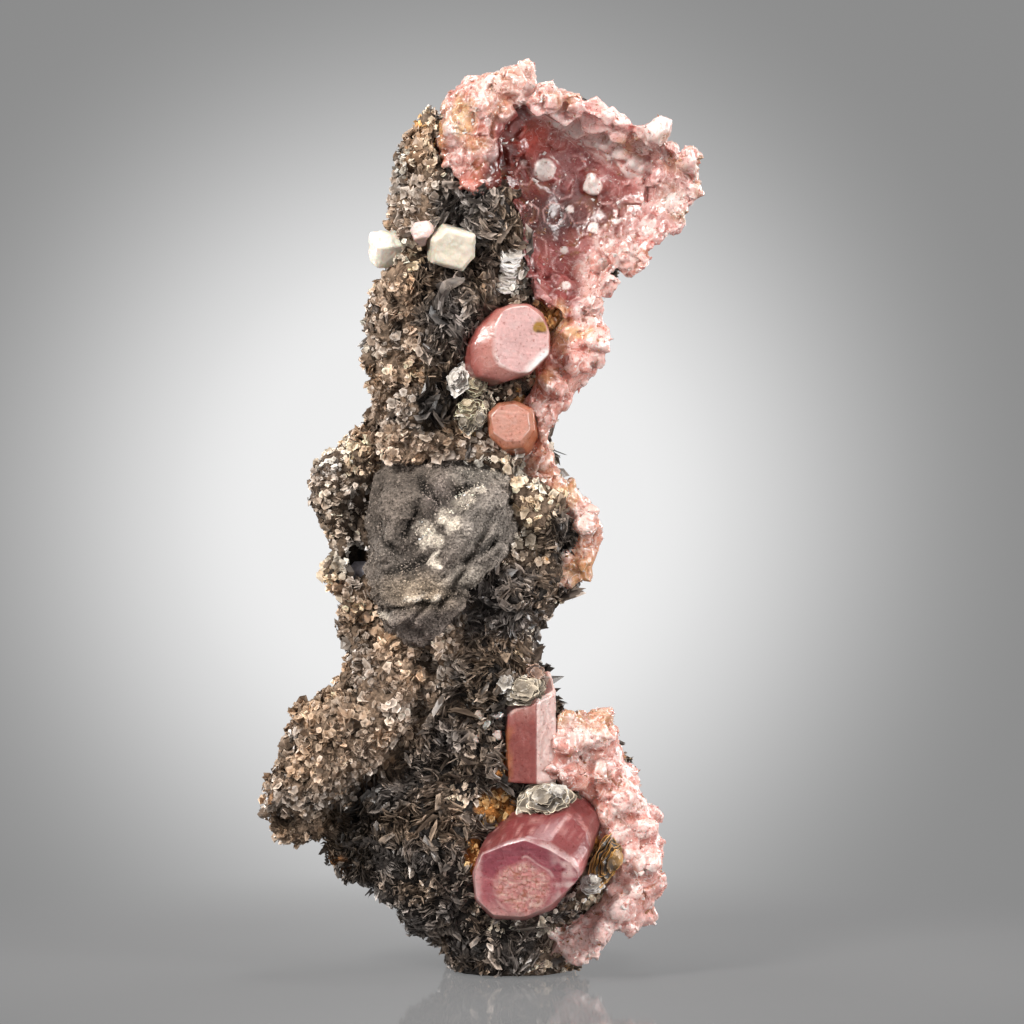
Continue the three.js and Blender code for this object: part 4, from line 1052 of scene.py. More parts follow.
def crust_tint(points):
    """The colour of the apatite at each point: the patches, then the hollow's mauve, partly its own
    colour and partly painted shade, with the flap's painted shadow, painted shade on its darker parts,
    painted light on its paler right side and under its rim, and the lines inside its rim; then painted
    shade in the slit beside the flap, and the growth arcs on the top of the rim."""
    colours = patched(np.tile((0.84, 0.50, 0.44), (len(points), 1)), points, crust_patches)
    depth = in_vug(points)
    x, _, z = points.T * 1e3
    rim_side = 0.55 * (x - 3.6) + 0.835 * (z - 128.6)
    under_rim = clamped(rim_side / 1.6 + 0.5) * (z > 117) * (x > 3) * clamped(3 * depth)
    rim_lines = clamped(np.cos(2 * np.pi * rim_side / 0.95 + 4 * noise(points, 0.0024, 83)) * 2 - 1.0)
    # Painted shade and light in the hollow: its mauve, partly its own colour, is deepened with painted shade,
    # more so low down, and carries the flap's painted shadow; it is redder high on the left, and it is
    # painted paler on its right side and under the rim as painted light, where the growth lines run.
    colours = layered(
        colours,
        ((0.43, 0.135, 0.135), clamped(1.6 * depth)),
        ((0.36, 0.095, 0.09), near(points, 6, 103, 5, 5, 0.6) * clamped(2 * depth)),
        ((0.17, 0.012, 0.006), near(points, *flap_shadow) * clamped(2.5 * depth)),
        ((0.50, 0.10, 0.07), 0.8 * near(points, 5, 126, 4, 3, 0.5) * clamped(2.5 * depth)),
        ((0.66, 0.30, 0.27), 0.7 * (near(points, 16.5, 110, 5, 8, 0.8) * clamped(2 * depth))),
        ((1.0, 0.66, 0.63), under_rim),
        ((1.0, 0.97, 0.95), 0.9 * rim_lines * under_rim),
    )
    # Painted shade on the darkest parts of the hollow's floor.
    colours = patched(colours, points, hollow_shades, 0.45, clamped(3 * depth + 0.6))
    arc = np.hypot(points[:, 0] - 0.0122, points[:, 2] - 0.1268) * 1e3
    arc_part = clamped((arc - 1.6) * 2) * clamped((4.7 - arc) * 3) * (points[:, 2] > 0.126)
    arc_part = arc_part * clamped((points[:, 0] - 0.0115) * 1e3) * (1 - depth)
    arc_lines = clamped(np.cos(2 * np.pi * arc / 0.75 + 1.5 * noise(points, 0.0018, 80)) * 2 - 0.9)
    # Painted shade in the slit between the flap and the hollow's floor; then the growth arcs on the rim, and
    # a duller colour behind.
    colours = layered(
        colours,
        ((0.13, 0.022, 0.015), near(points, -2.6, 119.2, 1.5, 3.2, 0.5)),
        ((0.97, 0.84, 0.80), 0.8 * arc_lines * arc_part),
        ((0.68, 0.38, 0.32), 0.6 * (behind(points, 0.004, 0.006) * (1 - depth))),
    )
    mottling = 1 + 0.14 * noise(points, 0.0023, 82) + 0.10 * noise(points, 0.0011, 81)
    return np.array([0.93, 0.84, 0.82]) * colours * mottling[:, None]


def apatite(
    name, roughness, subsurface, transmission,
    bump=0.0, bump_size=0.0006, grain=0.12, lines=0.6, spacing=240, veil=0.55, speck=0.6, values=None,
):
    """Pink apatite: glassy, with the mineral's high refraction. White veils lie in it, fine pale
    growth lines run round its swellings, and it is peppered with paler and darker specks."""
    glassy = {
        "IOR": 1.63, "Transmission Weight": transmission, "Subsurface Weight": subsurface,
        "Subsurface Radius": (1.0, 0.42, 0.36), "Subsurface Scale": 0.0014, **(values or {}),
    }
    material = mineral(name, roughness, grain, bump, bump_size, glassy)
    tree = material.node_tree
    shader = tree.nodes["Principled BSDF"]
    where = add_node(tree, "TexCoord")

    def cloud(scale, detail, distortion=0.0):
        texture = add_node(tree, "TexNoise", {"Scale": scale, "Detail": detail, "Distortion": distortion})
        link_nodes(tree, (where.outputs["Object"], texture.inputs["Vector"]))
        return texture.outputs["Fac"]

    def share(value, start, end, low, high):
        ends = {"From Min": start, "From Max": end, "To Min": low, "To Max": high}
        spread = add_node(tree, "MapRange", ends)
        link_nodes(tree, (value, spread.inputs["Value"]))
        return spread.outputs["Result"]

    def combined(operation, first, second):
        node = add_node(tree, "Math", operation=operation)
        for socket, value in zip(node.inputs, (first, second)):
            if isinstance(value, float):
                socket.default_value = value
            else:
                link_nodes(tree, (value, socket))
        return node.outputs["Value"]

    rings = combined("PINGPONG", combined("MULTIPLY", cloud(spacing, 1.5, 0.5), 5.0), 0.5)
    ring_lines, ring_parts = share(rings, 0.02, 0.08, lines, 0.0), share(cloud(310, 2), 0.36, 0.5, 0.0, 1.0)
    growth = combined("MULTIPLY", ring_lines, ring_parts)
    veils = share(cloud(520, 5), 0.54, 0.76, 0.0, veil)
    specks = share(cloud(2700, 2), 0.60, 0.70, 0.0, speck)
    dark_specks = share(cloud(1900, 3), 0.30, 0.42, 0.85, 0.0)
    tinted = shader.inputs["Base Color"].links[0].from_socket
    lit = share(tinted, 0.12, 0.50, 0.08, 1.0)
    pale = combined("MULTIPLY", combined("MAXIMUM", combined("MAXIMUM", growth, veils), specks), lit)
    whiten = add_node(tree, "Mix", data_type="RGBA")
    whiten.inputs["B"].default_value = (0.97, 0.84, 0.80, 1)
    darken = add_node(tree, "Mix", data_type="RGBA", blend_type="MULTIPLY")
    darken.inputs["B"].default_value = (0.62, 0.38, 0.34, 1)
    link_nodes(
        tree,
        (pale, whiten.inputs["Factor"]),
        (tinted, whiten.inputs["A"]),
        (dark_specks, darken.inputs["Factor"]),
        (whiten.outputs["Result"], darken.inputs["A"]),
        (darken.outputs["Result"], shader.inputs["Base Color"]),
    )
    return material


def stacked_faces(count, corners, rings):
    """Faces of closed shapes, each of rings of corners from its end down: caps and quads between."""
    turn = np.arange(corners)
    after = (turn + 1) % corners
    loops = [turn, (rings - 1) * corners + turn[::-1]]
    for start in range(0, (rings - 1) * corners, corners):
        below = start + corners
        loops.append(np.stack([start + turn, below + turn, below + after, start + after], 1).ravel())
    sizes = np.concatenate([[corners, corners], np.full(corners * (rings - 1), 4)])
    shift = rings * corners * np.arange(count)[:, None]
    return (np.concatenate(loops)[None] + shift).ravel(), np.tile(sizes, count)


# Where a crust's outline is drawn in or out: left-right, height, half width and half height, and
# how far it moves right and up, all in millimetres.
crust_shifts = [
    (20, 104, 5, 4, -2.4, 0.6), (16, 131.5, 5, 3.5, -0.4, -1.6), (17, 2.5, 5, 3, -1.6, 2.2),
    (27, 125, 2.6, 2.6, -1.4, -0.8), (16.5, 29, 4, 8, 1.2, 0), (24.5, 96, 5, 4, -1, 0),
    (0.6, 136.4, 5, 4, 0.9, -0.7), (9.6, 33, 3.6, 6, -2.4, 0), (9, 4.5, 4, 3.5, -1.0, -0.8),
]
# Rounded lobes that the flap ends in: left-right, front-back, height, radius, and how pale.
flap_lobes = np.array([
    (-1.2, -12.6, 129.4, 1.9, 0.3), (-2.9, -13.2, 126.6, 2.1, 0.0), (-3.6, -13.2, 123.6, 2.2, 0.3),
    (-4.6, -13.2, 120.6, 2.2, 0.0), (-6.8, -13.0, 120.4, 2.1, 0.0), (-4.4, -12.8, 118.0, 2.0, 0.0),
    (-3.4, -12.9, 119.6, 2.0, 0.0), (-8.6, -12.4, 122.0, 1.9, 0.1), (-6.0, -13.6, 125.0, 1.9, 0.2),
    (-5.8, -12.9, 119.2, 2.0, 0.0), (-2.9, -12.8, 121.4, 1.8, 0.1), (-6.6, -13.2, 123.0, 1.9, 0.0),
])

# Swellings that carry the lower crust over to the standing prism, and down beside the foot.
lower_lobes = np.array([
    (8.6, -13.4, 38.6, 2.0, 0.0), (8.3, -15.3, 35.8, 2.3, 0.0), (8.5, -14.6, 32.4, 2.4, 0.0),
    (9.6, -13.0, 29.6, 2.2, 0.0), (7.9, -14.6, 34.0, 1.8, 0.0), (10.4, -14.4, 36.2, 2.3, 0.3),
    (11.0, -12.2, 6.4, 2.2, 0.2), (8.6, -11.8, 5.0, 2.0, 0.1), (12.0, -12.0, 5.2, 1.9, 0.2),
    (6.6, -11.2, 6.6, 1.6, 0.3), (9.6, -11.6, 3.4, 1.8, 0.0), (13.6, -8.6, 37.6, 2.2, 0.2),
    (14.2, -8.0, 36.0, 2.0, 0.1), (20.2, -8.0, 9.4, 2.1, 0.2), (21.4, -8.0, 23.6, 2.1, 0.2),
])
# Swellings at the waist, where the long strip under the hollow spreads over the mica.
waist_lobes = np.array([
    (7.4, -9.6, 62.4, 2.2, 0.0), (8.4, -9.0, 59.6, 2.1, 0.0), (9.8, -9.0, 63.6, 2.2, 0.0),
    (6.6, -9.4, 60.2, 1.8, 0.0), (10.2, -8.6, 61.0, 2.0, 0.0),
])

# The builds of a crystal, as rings from its end down: the share of its radius that each ring lies
# out, and how far it lies below the tip in radii. A stepped one has a smaller step on its end, a
# flat one lies like a coin, a ball is rounded all over, and a pad only round its edge.
plain_build = [(0.76, 0.0), (1.0, 0.22), (1.06, 1.5)]
stepped_build = [(0.46, -0.10), (0.58, 0.0), (0.80, 0.05), (1.0, 0.26), (1.06, 1.6)]
flat_build = [(0.93, 0.0), (1.0, 0.06), (1.0, 0.4)]
ball_build = [(0.34, 0.0), (0.70, 0.14), (0.93, 0.42), (1.0, 0.85), (0.92, 1.4)]
pad_build = [(0.55, 0.0), (0.85, 0.08), (1.0, 0.3), (1.0, 1.0)]
frost_white = (0.95, 0.79, 0.75)


def small_crystals(tip, axis, radius, build, rng):
    """Six-sided crystals. Each corner of a ring lies at its angle round the axis, its share of the
    radius out, with a little chance, and as far below the tip as its build says; the end leans."""
    count = len(tip)
    side = unit(np.cross(axis, unit(rng.normal(size=(count, 3)))))
    other = np.cross(axis, side)
    angle = np.arange(6) * np.pi / 3 + 0.16 * rng.normal(size=(count, 6))
    reach = radius[:, None] * (1 + 0.10 * rng.normal(size=(count, 6)))
    squash = 1 + 0.18 * rng.normal(size=(count, 1))
    across = (reach * np.cos(angle) * squash)[..., None] * side[:, None]
    across = across + (reach * np.sin(angle))[..., None] * other[:, None]
    slope = 0.12 * rng.normal(size=(count, 1, 3))
    lean = (across * slope).sum(-1, keepdims=True) * axis[:, None]
    deep = radius[:, None, None] * axis[:, None]
    rings = [tip[:, None] + across * share + lean * min(share, 1) - deep * drop for share, drop in build]
    return np.concatenate(rings, 1)


def front_points(points, normals, places):
    """The front-most point of a mesh, and its normal, at each left-right and height in millimetres."""
    found = []
    for x, z in places:
        off = np.hypot(points[:, 0] - x * 1e-3, points[:, 2] - z * 1e-3)
        close = np.flatnonzero(off < max(0.0006, off.min() * 1.01))
        found.append(close[points[close, 1].argmin()])
    return points[found], normals[found]


crust_glass = apatite(
    "apatite_crust", 0.22, 0.32, 0.20, bump=0.00012, bump_size=0.0005, lines=0.7, spacing=280, veil=0.4
)
crystal_glass = apatite("apatite_small_crystal", 0.2, 0.30, 0.22, bump=0.00005, bump_size=0.0004, lines=0.3)

# The bigger crystals of each crust: left-right, height, radius, how far out they stand (in radii)
# and how much paler than the crust they are.
upper_crust_crystals = [
    (17.4, 124.6, 1.4, 0.30, 0.2), (19.4, 123.6, 1.3, 0.35, 0.4), (18.2, 121.0, 1.1, 0.4, 0.5),
    (24.2, 116.0, 2.0, 0.25, 0.80), (25.8, 121.4, 1.8, 0.2, 0.25), (23.4, 122.4, 1.5, 0.2, 0.1),
    (21.8, 119.0, 1.8, 0.2, 0.25), (21.0, 115.2, 1.6, 0.15, 0.1), (17.6, 112.0, 1.4, 0.15, 0.1),
    (20.0, 111.8, 1.5, 0.1, 0.45), (17.4, 108, 1.8, 0.2, 0.3), (12.6, 100.6, 1.3, 0.3, 0.6),
    (13.9, 106.2, 1.6, 0.2, 0.1), (19.0, 107.2, 1.5, 0.2, 0.6), (15.2, 103.8, 1.3, 0.3, 0.35),
    (9.6, 99.6, 1.2, 0.3, 0.3), (-9.6, 126.2, 1.2, 0.2, 0.6), (-7, 121.8, 1.7, 0.15, 0.05),
    (-5.6, 130.8, 2.0, 0.2, 0.25), (-3.2, 133.2, 1.9, 0.25, 0.35), (1.2, 136.2, 1.2, 0.4, 0.7),
    (-0.4, 135.8, 1.1, 0.5, 0.7), (1.8, 131.8, 1.5, 0.2, 0.4), (-3.5, 129.4, 1.5, 0.2, 0.15),
    (-4.6, 123.0, 1.5, 0.2, 0.7), (-3.6, 118.8, 1.5, 0.2, 0.0), (-5.4, 118.4, 1.4, 0.2, 0.0),
    (3.6, 132.6, 1.3, 0.3, 0.5), (3.4, 129.2, 1.2, 0.25, 0.75), (13, 96.0, 2.0, 0.25, 0.35),
    (8.6, 96.6, 1.6, 0.25, 0.15), (10, 91.5, 2.0, 0.2, 0.2), (12.8, 92.4, 1.7, 0.25, 0.35),
    (6, 87.6, 1.6, 0.2, 0.1), (8.4, 87.8, 1.5, 0.25, 0.15), (14.6, 94.6, 1.4, 0.3, 0.5),
    (11.2, 98.0, 1.5, 0.25, 0.3), (7.8, 93.6, 1.4, 0.2, 0.1), (6.6, 83.6, 1.2, 0.3, 0.1),
    (7.6, 72.0, 1.4, 0.3, 0.2), (11, 67.6, 1.7, 0.3, 0.5), (10.4, 62.8, 1.5, 0.3, 0.0),
    (5, 76.6, 1.3, 0.3, 0.0), (3, 79, 1.2, 0.3, 0.1), (12.0, 70.0, 1.3, 0.3, 0.4),
    (9.0, 59.4, 1.3, 0.25, 0.0),
]
# Broad plates that lie over each other along the top of the rim, and the white ball beside them.
rim_plates = [
    (5.6, 130.4, 2.4, 0.04, 0.15), (8.6, 129.6, 3.0, 0.05, 0.1), (12.2, 127.8, 3.2, 0.08, 0.0),
    (9.8, 127.2, 2.0, 0.08, 0.1), (15.8, 125.9, 2.1, 0.06, 0.15), (12.8, 125.6, 1.8, 0.10, 0.1),
]
rim_ball = [(21.7, 126.8, 2.6, 0.30, 0.75), (19.6, 122.6, 1.1, 0.35, 0.6)]
# Crystals on the inside of the rim at the upper right, which turn their ends to the display side.
inner_rim_crystals = [
    (7.6, 127.0, 1.3, 0.30, 0.30), (9.9, 126.2, 1.7, 0.35, 0.50), (11.6, 124.6, 1.3, 0.30, 0.35),
    (13.4, 124.6, 1.6, 0.40, 0.55), (14.6, 122.6, 1.2, 0.30, 0.35), (16.6, 122.6, 1.5, 0.35, 0.55),
    (17.4, 120.2, 1.3, 0.30, 0.45), (12.2, 126.4, 1.2, 0.30, 0.30), (19.4, 120.6, 1.4, 0.30, 0.55),
]
# Frosted discs and flat hexagons that lie on the floor of the hollow.
hollow_discs = [
    (5.1, 119.9, 1.75, 0.16, 1.5), (12.9, 117.6, 1.5, 0.18, 1.5), (12.0, 118.9, 1.1, 0.2, 1.5),
    (12.4, 112.2, 0.85, 0.25, 1.4), (8.4, 108.9, 0.65, 0.3, 1.4), (8.7, 103.6, 0.7, 0.4, 1.4),
    (13.8, 106.9, 0.9, 0.3, 1.3), (9.2, 113.9, 0.6, 0.3, 1.2), (15.6, 113.2, 0.6, 0.3, 1.2),
    (8.6, 125.3, 0.5, 0.3, 1.3), (15.4, 124.2, 0.8, 0.3, 1.2), (15.4, 122.0, 0.8, 0.3, 1.2),
    (2.6, 121.6, 0.6, 0.2, 0.5), (3.4, 115.4, 0.4, 0.3, 1.0),
]
hollow_hexagons = [
    (3.6, 108.7, 2.1, 0.14, 0.0), (10.4, 114.0, 1.7, 0.12, 0.0), (14.6, 114.0, 1.6, 0.14, 0.02),
    (6.6, 113.8, 1.8, 0.10, 0.0), (9.6, 120.8, 1.9, 0.10, 0.0), (14.8, 110.0, 1.5, 0.16, 0.05),
    (2.8, 114.0, 1.6, 0.10, 0.0), (7.2, 124.6, 1.8, 0.10, 0.0), (5.0, 103.4, 1.9, 0.12, 0.0),
    (11.4, 109.4, 1.5, 0.12, 0.0), (8.0, 117.6, 1.6, 0.08, 0.0), (2.2, 119.6, 1.5, 0.08, 0.0),
    (13.4, 122.6, 1.7, 0.10, 0.0), (7.6, 106.4, 1.4, 0.12, 0.0),
]
lower_crust_crystals = [
    (9.2, 37.6, 1.7, 0.15, 0.0), (12.2, 36.2, 1.9, 0.25, 0.7), (14.6, 36.4, 1.5, 0.25, 0.3),
    (14.0, 31.8, 1.9, 0.2, 0.3), (11.2, 31.4, 1.6, 0.15, 0.0), (16.6, 27.2, 1.9, 0.2, 0.4),
    (13.6, 26.8, 1.7, 0.15, 0.1), (19.2, 22.2, 1.8, 0.2, 0.4), (16.4, 21.4, 1.9, 0.2, 0.5),
    (13.8, 20.4, 1.6, 0.15, 0.0), (19.6, 17.4, 1.9, 0.2, 0.5), (17.0, 16.2, 1.7, 0.2, 0.25),
    (19.2, 12.6, 1.6, 0.25, 0.4), (16.8, 10.4, 1.8, 0.3, 0.25), (13.4, 7.4, 1.8, 0.35, 0.2),
    (17.6, 6.8, 1.5, 0.35, 0.2), (10.4, 4.6, 1.5, 0.35, 0.1), (14.4, 4.4, 1.5, 0.35, 0.1),
    (10.2, 34.0, 1.4, 0.2, 0.05), (15.8, 24.4, 1.4, 0.2, 0.3), (14.6, 13.4, 1.3, 0.25, 0.05),
]


def standing_on(points, normals, places, build, rng, lean, forward):
    """Crystals at named places on a crust's front. Each points along the crust's normal, turned
    `forward` of the way to the display side, and leans by chance. Returns their corners, and for
    each its tip, its radius and how pale it is."""
    x, z, radius, proud, pale = np.array(places).T
    spots, out = front_points(points, normals, np.stack([x, z], 1))
    ahead = (1 - forward) * unit(out + [0, -0.5, 0]) + forward * np.array([0, -1, 0.1])
    axis = unit(unit(ahead) + lean * rng.normal(size=(len(x), 3)))
    radius = radius * 1e-3
    tips = spots + axis * (radius * proud)[:, None]
    return small_crystals(tips, axis, radius, build, rng), build, tips, radius, pale


def lobes(places, rng):
    """Rounded swellings with their tips at given places, all facing the display side."""
    x, y, z, radius, pale = places.T
    tips = np.stack([x, y, z], 1) * 1e-3
    axis = unit(np.array([0, -1, 0.2]) + 0.25 * rng.normal(size=tips.shape))
    return small_crystals(tips, axis, radius * 1e-3, pad_build, rng), pad_build, tips, radius * 1e-3, pale


def strewn(crust, count, rng, size, proud, build, wanted, pale=0.5):
    """Crystals spread over a crust by chance, in the same terms."""
    spots, out = scattered(crust, count, rng, wanted)
    axis = unit(out + 0.30 * rng.normal(size=out.shape))
    radius = size * np.exp(0.40 * rng.normal(size=count))
    tips = spots + axis * (radius * (0.3 + rng.random(count)) * proud)[:, None]
    return small_crystals(tips, axis, radius, build, rng), build, tips, radius, pale * rng.random(count) ** 3


def ridge_height(piece, passes=3):
    """How far each vertex stands out from its neighbours, in metres: above 0 on ridges, below 0 in
    creases. The neighbours' middle is taken along the edges, a few times over."""
    edges = np.empty(len(piece.data.edges) * 2, np.int32)
    piece.data.edges.foreach_get("vertices", edges)
    a, b = edges.reshape(-1, 2).T
    points = points_of(piece)
    count = np.bincount(a, minlength=len(points)) + np.bincount(b, minlength=len(points))
    middle = points
    for _ in range(passes):
        sums = [np.bincount(a, middle[b, k], len(points)) for k in range(3)]
        sums = [part + np.bincount(b, middle[a, k], len(points)) for k, part in enumerate(sums)]
        middle = np.stack(sums, 1) / np.maximum(count, 1)[:, None]
    return ((points - middle) * normals_of(piece)).sum(1)


def grown_together(crust, crystals, voxel, smooth):
    """One skin over a crust and the crystals in it: their faces are put in one mesh, which is remade
    as a single closed surface, so that they merge with soft edges."""
    mesh = crust.data
    loops = np.empty(len(mesh.loops), np.int32)
    mesh.loops.foreach_get("vertex_index", loops)
    sizes = np.empty(len(mesh.polygons), np.int32)
    mesh.polygons.foreach_get("loop_total", sizes)
    points, all_loops, all_sizes = [points_of(crust)], [loops], [sizes]
    start = len(points[0])
    for corners, build, *_ in crystals:
        more_loops, more_sizes = stacked_faces(len(corners), 6, len(build))
        all_loops.append(more_loops + start)
        all_sizes.append(more_sizes)
        points.append(corners.reshape(-1, 3))
        start += len(points[-1])
    name = crust.name
    bpy.data.objects.remove(crust)
    skin = bare_piece(name, *map(np.concatenate, (points, all_loops, all_sizes)))
    skin.name = name
    even_skin(skin, voxel, smooth)
    return skin


def crust_colour(skin, crystals, edges):
    """The colour at each point of a finished crust: its tint, paler on pale crystals and on the
    edges of faces, paler on ridges as painted highlight, deeper in the creases as painted shade, and
    here and there rusty in them. The hollow and its painted shade have less frost, and the outlines of
    the flat hexagons on its floor."""
    points, height = points_of(skin), ridge_height(skin)
    colours, depth = crust_tint(points), in_vug(points)
    for _, _, tips, radii, pales in crystals:
        for tip, radius, pale in zip(tips, radii, pales):
            if pale > 0.25:
                close = np.flatnonzero((np.abs(points - tip) < 1.2 * radius).all(1))
                off = np.linalg.norm(points[close] - tip, axis=1) / radius
                patchy = clamped(0.9 + 0.5 * noise(points[close], 0.0007, 88))
                share = clamped(pale * clamped((1.05 - off) * 5) * patchy)
                colours[close] = mixed(colours[close], (0.96, 0.84, 0.80), share)
    # Less frost, ridge highlight and edge paleness in the hollow and where painted shade lies in it.
    frosting = (1 - 0.7 * clamped(depth)) * (1 - 0.9 * near(points, *flap_shadow) * clamped(2.5 * depth))
    for place in ((7, 114, 9, 4.5, 0.4), (-2.8, 119.5, 2.2, 4, 0.4)):
        frosting = frosting * (1 - 0.9 * near(points, *place))
    frosty = clamped(2.6 * noise(points, 0.0038, 85) - 0.25)
    # Painted highlight: paler on ridges.
    ridges = clamped(height / 0.00005 - 0.3) * clamped(0.6 + 0.9 * noise(points, 0.0013, 86))
    edges = edges * clamped(0.7 + 0.9 * noise(points, 0.0016, 89))
    for share in (0.35 * frosty, 0.3 * ridges, 0.62 * edges):
        colours = mixed(colours, frost_white, share * frosting)
    outline_parts = clamped(0.7 + noise(points, 0.0021, 83))
    for x, z, radius, *_ in hollow_hexagons:
        across, up = points[:, 0] * 1e3 - x, points[:, 2] * 1e3 - z
        turn = (np.arctan2(up, across) + x) % (np.pi / 3) - np.pi / 6
        off = np.abs(np.hypot(across, up) - radius * np.cos(np.pi / 6) / np.cos(turn))
        outline = clamped(1.4 - off / 0.14) * outline_parts
        colours = mixed(colours, (0.86, 0.56, 0.53), 0.6 * outline * clamped(2 * depth))
    # Painted shade: the colours are deepened in the creases.
    crease = clamped(-height / 0.00007)
    colours = np.clip(colours, 0.001, 0.97) ** (1 + 0.4 * crease)[:, None]
    rusty = crease * clamped(1.4 * noise(points, 0.0024, 87) - 0.1)
    colours = mixed(colours, (0.36, 0.15, 0.06), 0.8 * rusty)
    uneven = 1.1 + 1.4 * noise(points, 0.0011, 81)
    for x, z, rx, rz, colour in crust_stains:
        colours = mixed(colours, colour, 0.85 * clamped(near(points, x, z, rx, rz, 0.6) * uneven))
    return colours


def frost(crust, count, rng):
    """Tiny scales on the front of a crust: most frost white, some rusty, some deep rose."""
    spots, out = scattered(crust, count, rng, lambda p, n: np.clip(0.4 - n[:, 1], 0.05, 1))
    facing = unit(out + 0.6 * rng.normal(size=out.shape))
    along = unit(np.cross(facing, rng.normal(size=out.shape)))
    length = 0.00034 * np.exp(0.5 * rng.normal(size=count))
    width = length * (0.35 + 0.5 * rng.random(count))
    made = plates(spots + 0.00012 * out, facing, along, length, width, 0.3 * length, 4, rng).reshape(-1, 3)
    chance = rng.random(count)
    colours = np.tile((0.96, 0.86, 0.82), (count, 1))
    colours[chance > 0.55] = (0.42, 0.20, 0.09)
    colours[chance > 0.75] = (0.62, 0.24, 0.20)
    colours = np.repeat(colours, 6, 0)
    scales = mesh_piece(f"{crust.name}_frost", made, *plate_faces(count, 4), colours, crystal_glass, "POINT")


# Five small clear crystals that grew on the mica beside the prism, and their colours.
clear_rng = np.random.default_rng(29)
clear_places = [
    (-1.9, 36.8, 0.75, 1.0, 0), (-3.3, 37.8, 0.8, 1.0, 0), (-4.8, 35.8, 0.6, 1.0, 0),
    (-2.2, 39.3, 0.6, 1.0, 0), (-4.2, 39.9, 0.7, 1.0, 0),
]
clear_tints = [
    (0.62, 0.50, 0.45), (0.86, 0.80, 0.74), (0.60, 0.48, 0.42), (0.84, 0.72, 0.68), (0.5, 0.42, 0.36),
]
clear_corners, *_ = standing_on(
    points_of(column), normals_of(column), clear_places, plain_build, clear_rng, 0.3, 0.6
)
clear_crystals = mesh_piece(
    "clear_small_crystals", clear_corners.reshape(-1, 3), *stacked_faces(5, 6, 3),
    np.repeat(clear_tints, 18, 0), crystal_glass, domain="POINT",
)

# Each crust starts as an even skin, with its outline drawn right and soft swellings on it. Its named
# and strewn crystals are grown into it, and flat faces cover it but for the hollow, the plates on the
# rim and the white ball. Frost lies on it last.
vug_back = 0.0068
crust_rng = np.random.default_rng(23)
for node, voxel, seed in (("apatite_upper_crust", 0.00042, 83), ("apatite_lower_crust", 0.00036, 84)):
    crust = remeshed(node, node.replace("apatite", "pink_apatite"), voxel, smooth=3)
    crust_points, crust_normals = points_of(crust), normals_of(crust)
    for x, z, rx, rz, right, up in crust_shifts:
        crust_points += near(crust_points, x, z, rx, rz, 0.5)[:, None] * np.array([right, 0, up]) * 1e-3
    set_points(crust, crust_points)
    if node == "apatite_upper_crust":
        sunk = np.clip(-vug_back - crust_points[:, 1], 0, 0.01) * past_flap(crust_points)
        set_points(crust, crust_points + np.stack([0 * sunk, sunk, 0 * sunk], 1))
        crust_points, crust_normals = points_of(crust), normals_of(crust)
    swell = 0.0005 * noise(crust_points, 0.0034, seed) + 0.0002 * noise(crust_points, 0.0016, seed + 2)
    swell = swell * (1 - 0.75 * clamped(2 * in_vug(crust_points))) - 0.0003
    set_points(crust, crust_points + crust_normals * swell[:, None])
    crust_points, crust_normals = points_of(crust), normals_of(crust)

    def placed(places, build, lean, forward, rng=crust_rng):
        return standing_on(crust_points, crust_normals, places, build, rng, lean, forward)

    def out_of_vug(points, normals):
        return 1.02 - clamped(2 * in_vug(points))

    if node == "apatite_upper_crust":
        crystals = [
            placed(upper_crust_crystals, stepped_build, 0.15, 0.3),
            placed(rim_plates, flat_build, 0.10, 0.35),
            placed(rim_ball, ball_build, 0.1, 0.6),
            lobes(flap_lobes, crust_rng),
            lobes(waist_lobes, crust_rng),
            placed(hollow_discs, plain_build, 0.05, 0.5),
            placed(hollow_hexagons, flat_build, 0.06, 0.2),
            strewn(crust, 320, crust_rng, 0.0008, 0.22, plain_build, out_of_vug),
            strewn(crust, 150, crust_rng, 0.0011, 0.08, flat_build, lambda p, n: in_vug(p), 0.2),
            placed(inner_rim_crystals, plain_build, 0.12, 0.6, np.random.default_rng(31)),
        ]
        scales, skin_voxel = 1500, 0.00028
    else:
        crystals = [
            placed(lower_crust_crystals, stepped_build, 0.15, 0.3),
            strewn(crust, 200, crust_rng, 0.0008, 0.2, plain_build, lambda p, n: 1 + 0 * p[:, 0]),
            lobes(lower_lobes, crust_rng),
        ]
        scales, skin_voxel = 700, 0.00026
    crust = grown_together(crust, crystals, skin_voxel, 2)
    skin_points = points_of(crust)
    broad, broad_edge = faceted(skin_points, 0.0027, 120)
    small, small_edge = faceted(skin_points, 0.0012, 140)
    plain = np.maximum(
        0.85 * clamped(1.6 * in_vug(skin_points)), 0.75 * near(skin_points, 13, 128.4, 9, 4, 0.3)
    )
    plain = np.maximum(plain, near(skin_points, 21.7, 126.8, 3, 3, 0.3))
    lift = (0.0011 * broad + 0.00022 * small) * (1 - plain)
    set_points(crust, skin_points + normals_of(crust) * lift[:, None])
    paint(crust, crust_colour(crust, crystals, np.maximum(broad_edge, 0.35 * small_edge)))
    crust.data.materials.append(crust_glass)
    crust.data.shade_smooth()
    crust.data.set_sharp_from_angle(angle=math.radians(35))
    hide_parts(node)
    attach(crust, "root")
    frost(crust, scales, crust_rng)

# ---- Single apatite crystals ----
# Four crystals stand clear of the crusts: stout six-sided prisms with a flat end and a bevel round
# it. They are milky rose glass, paler on the end face, and clear enough to see into.


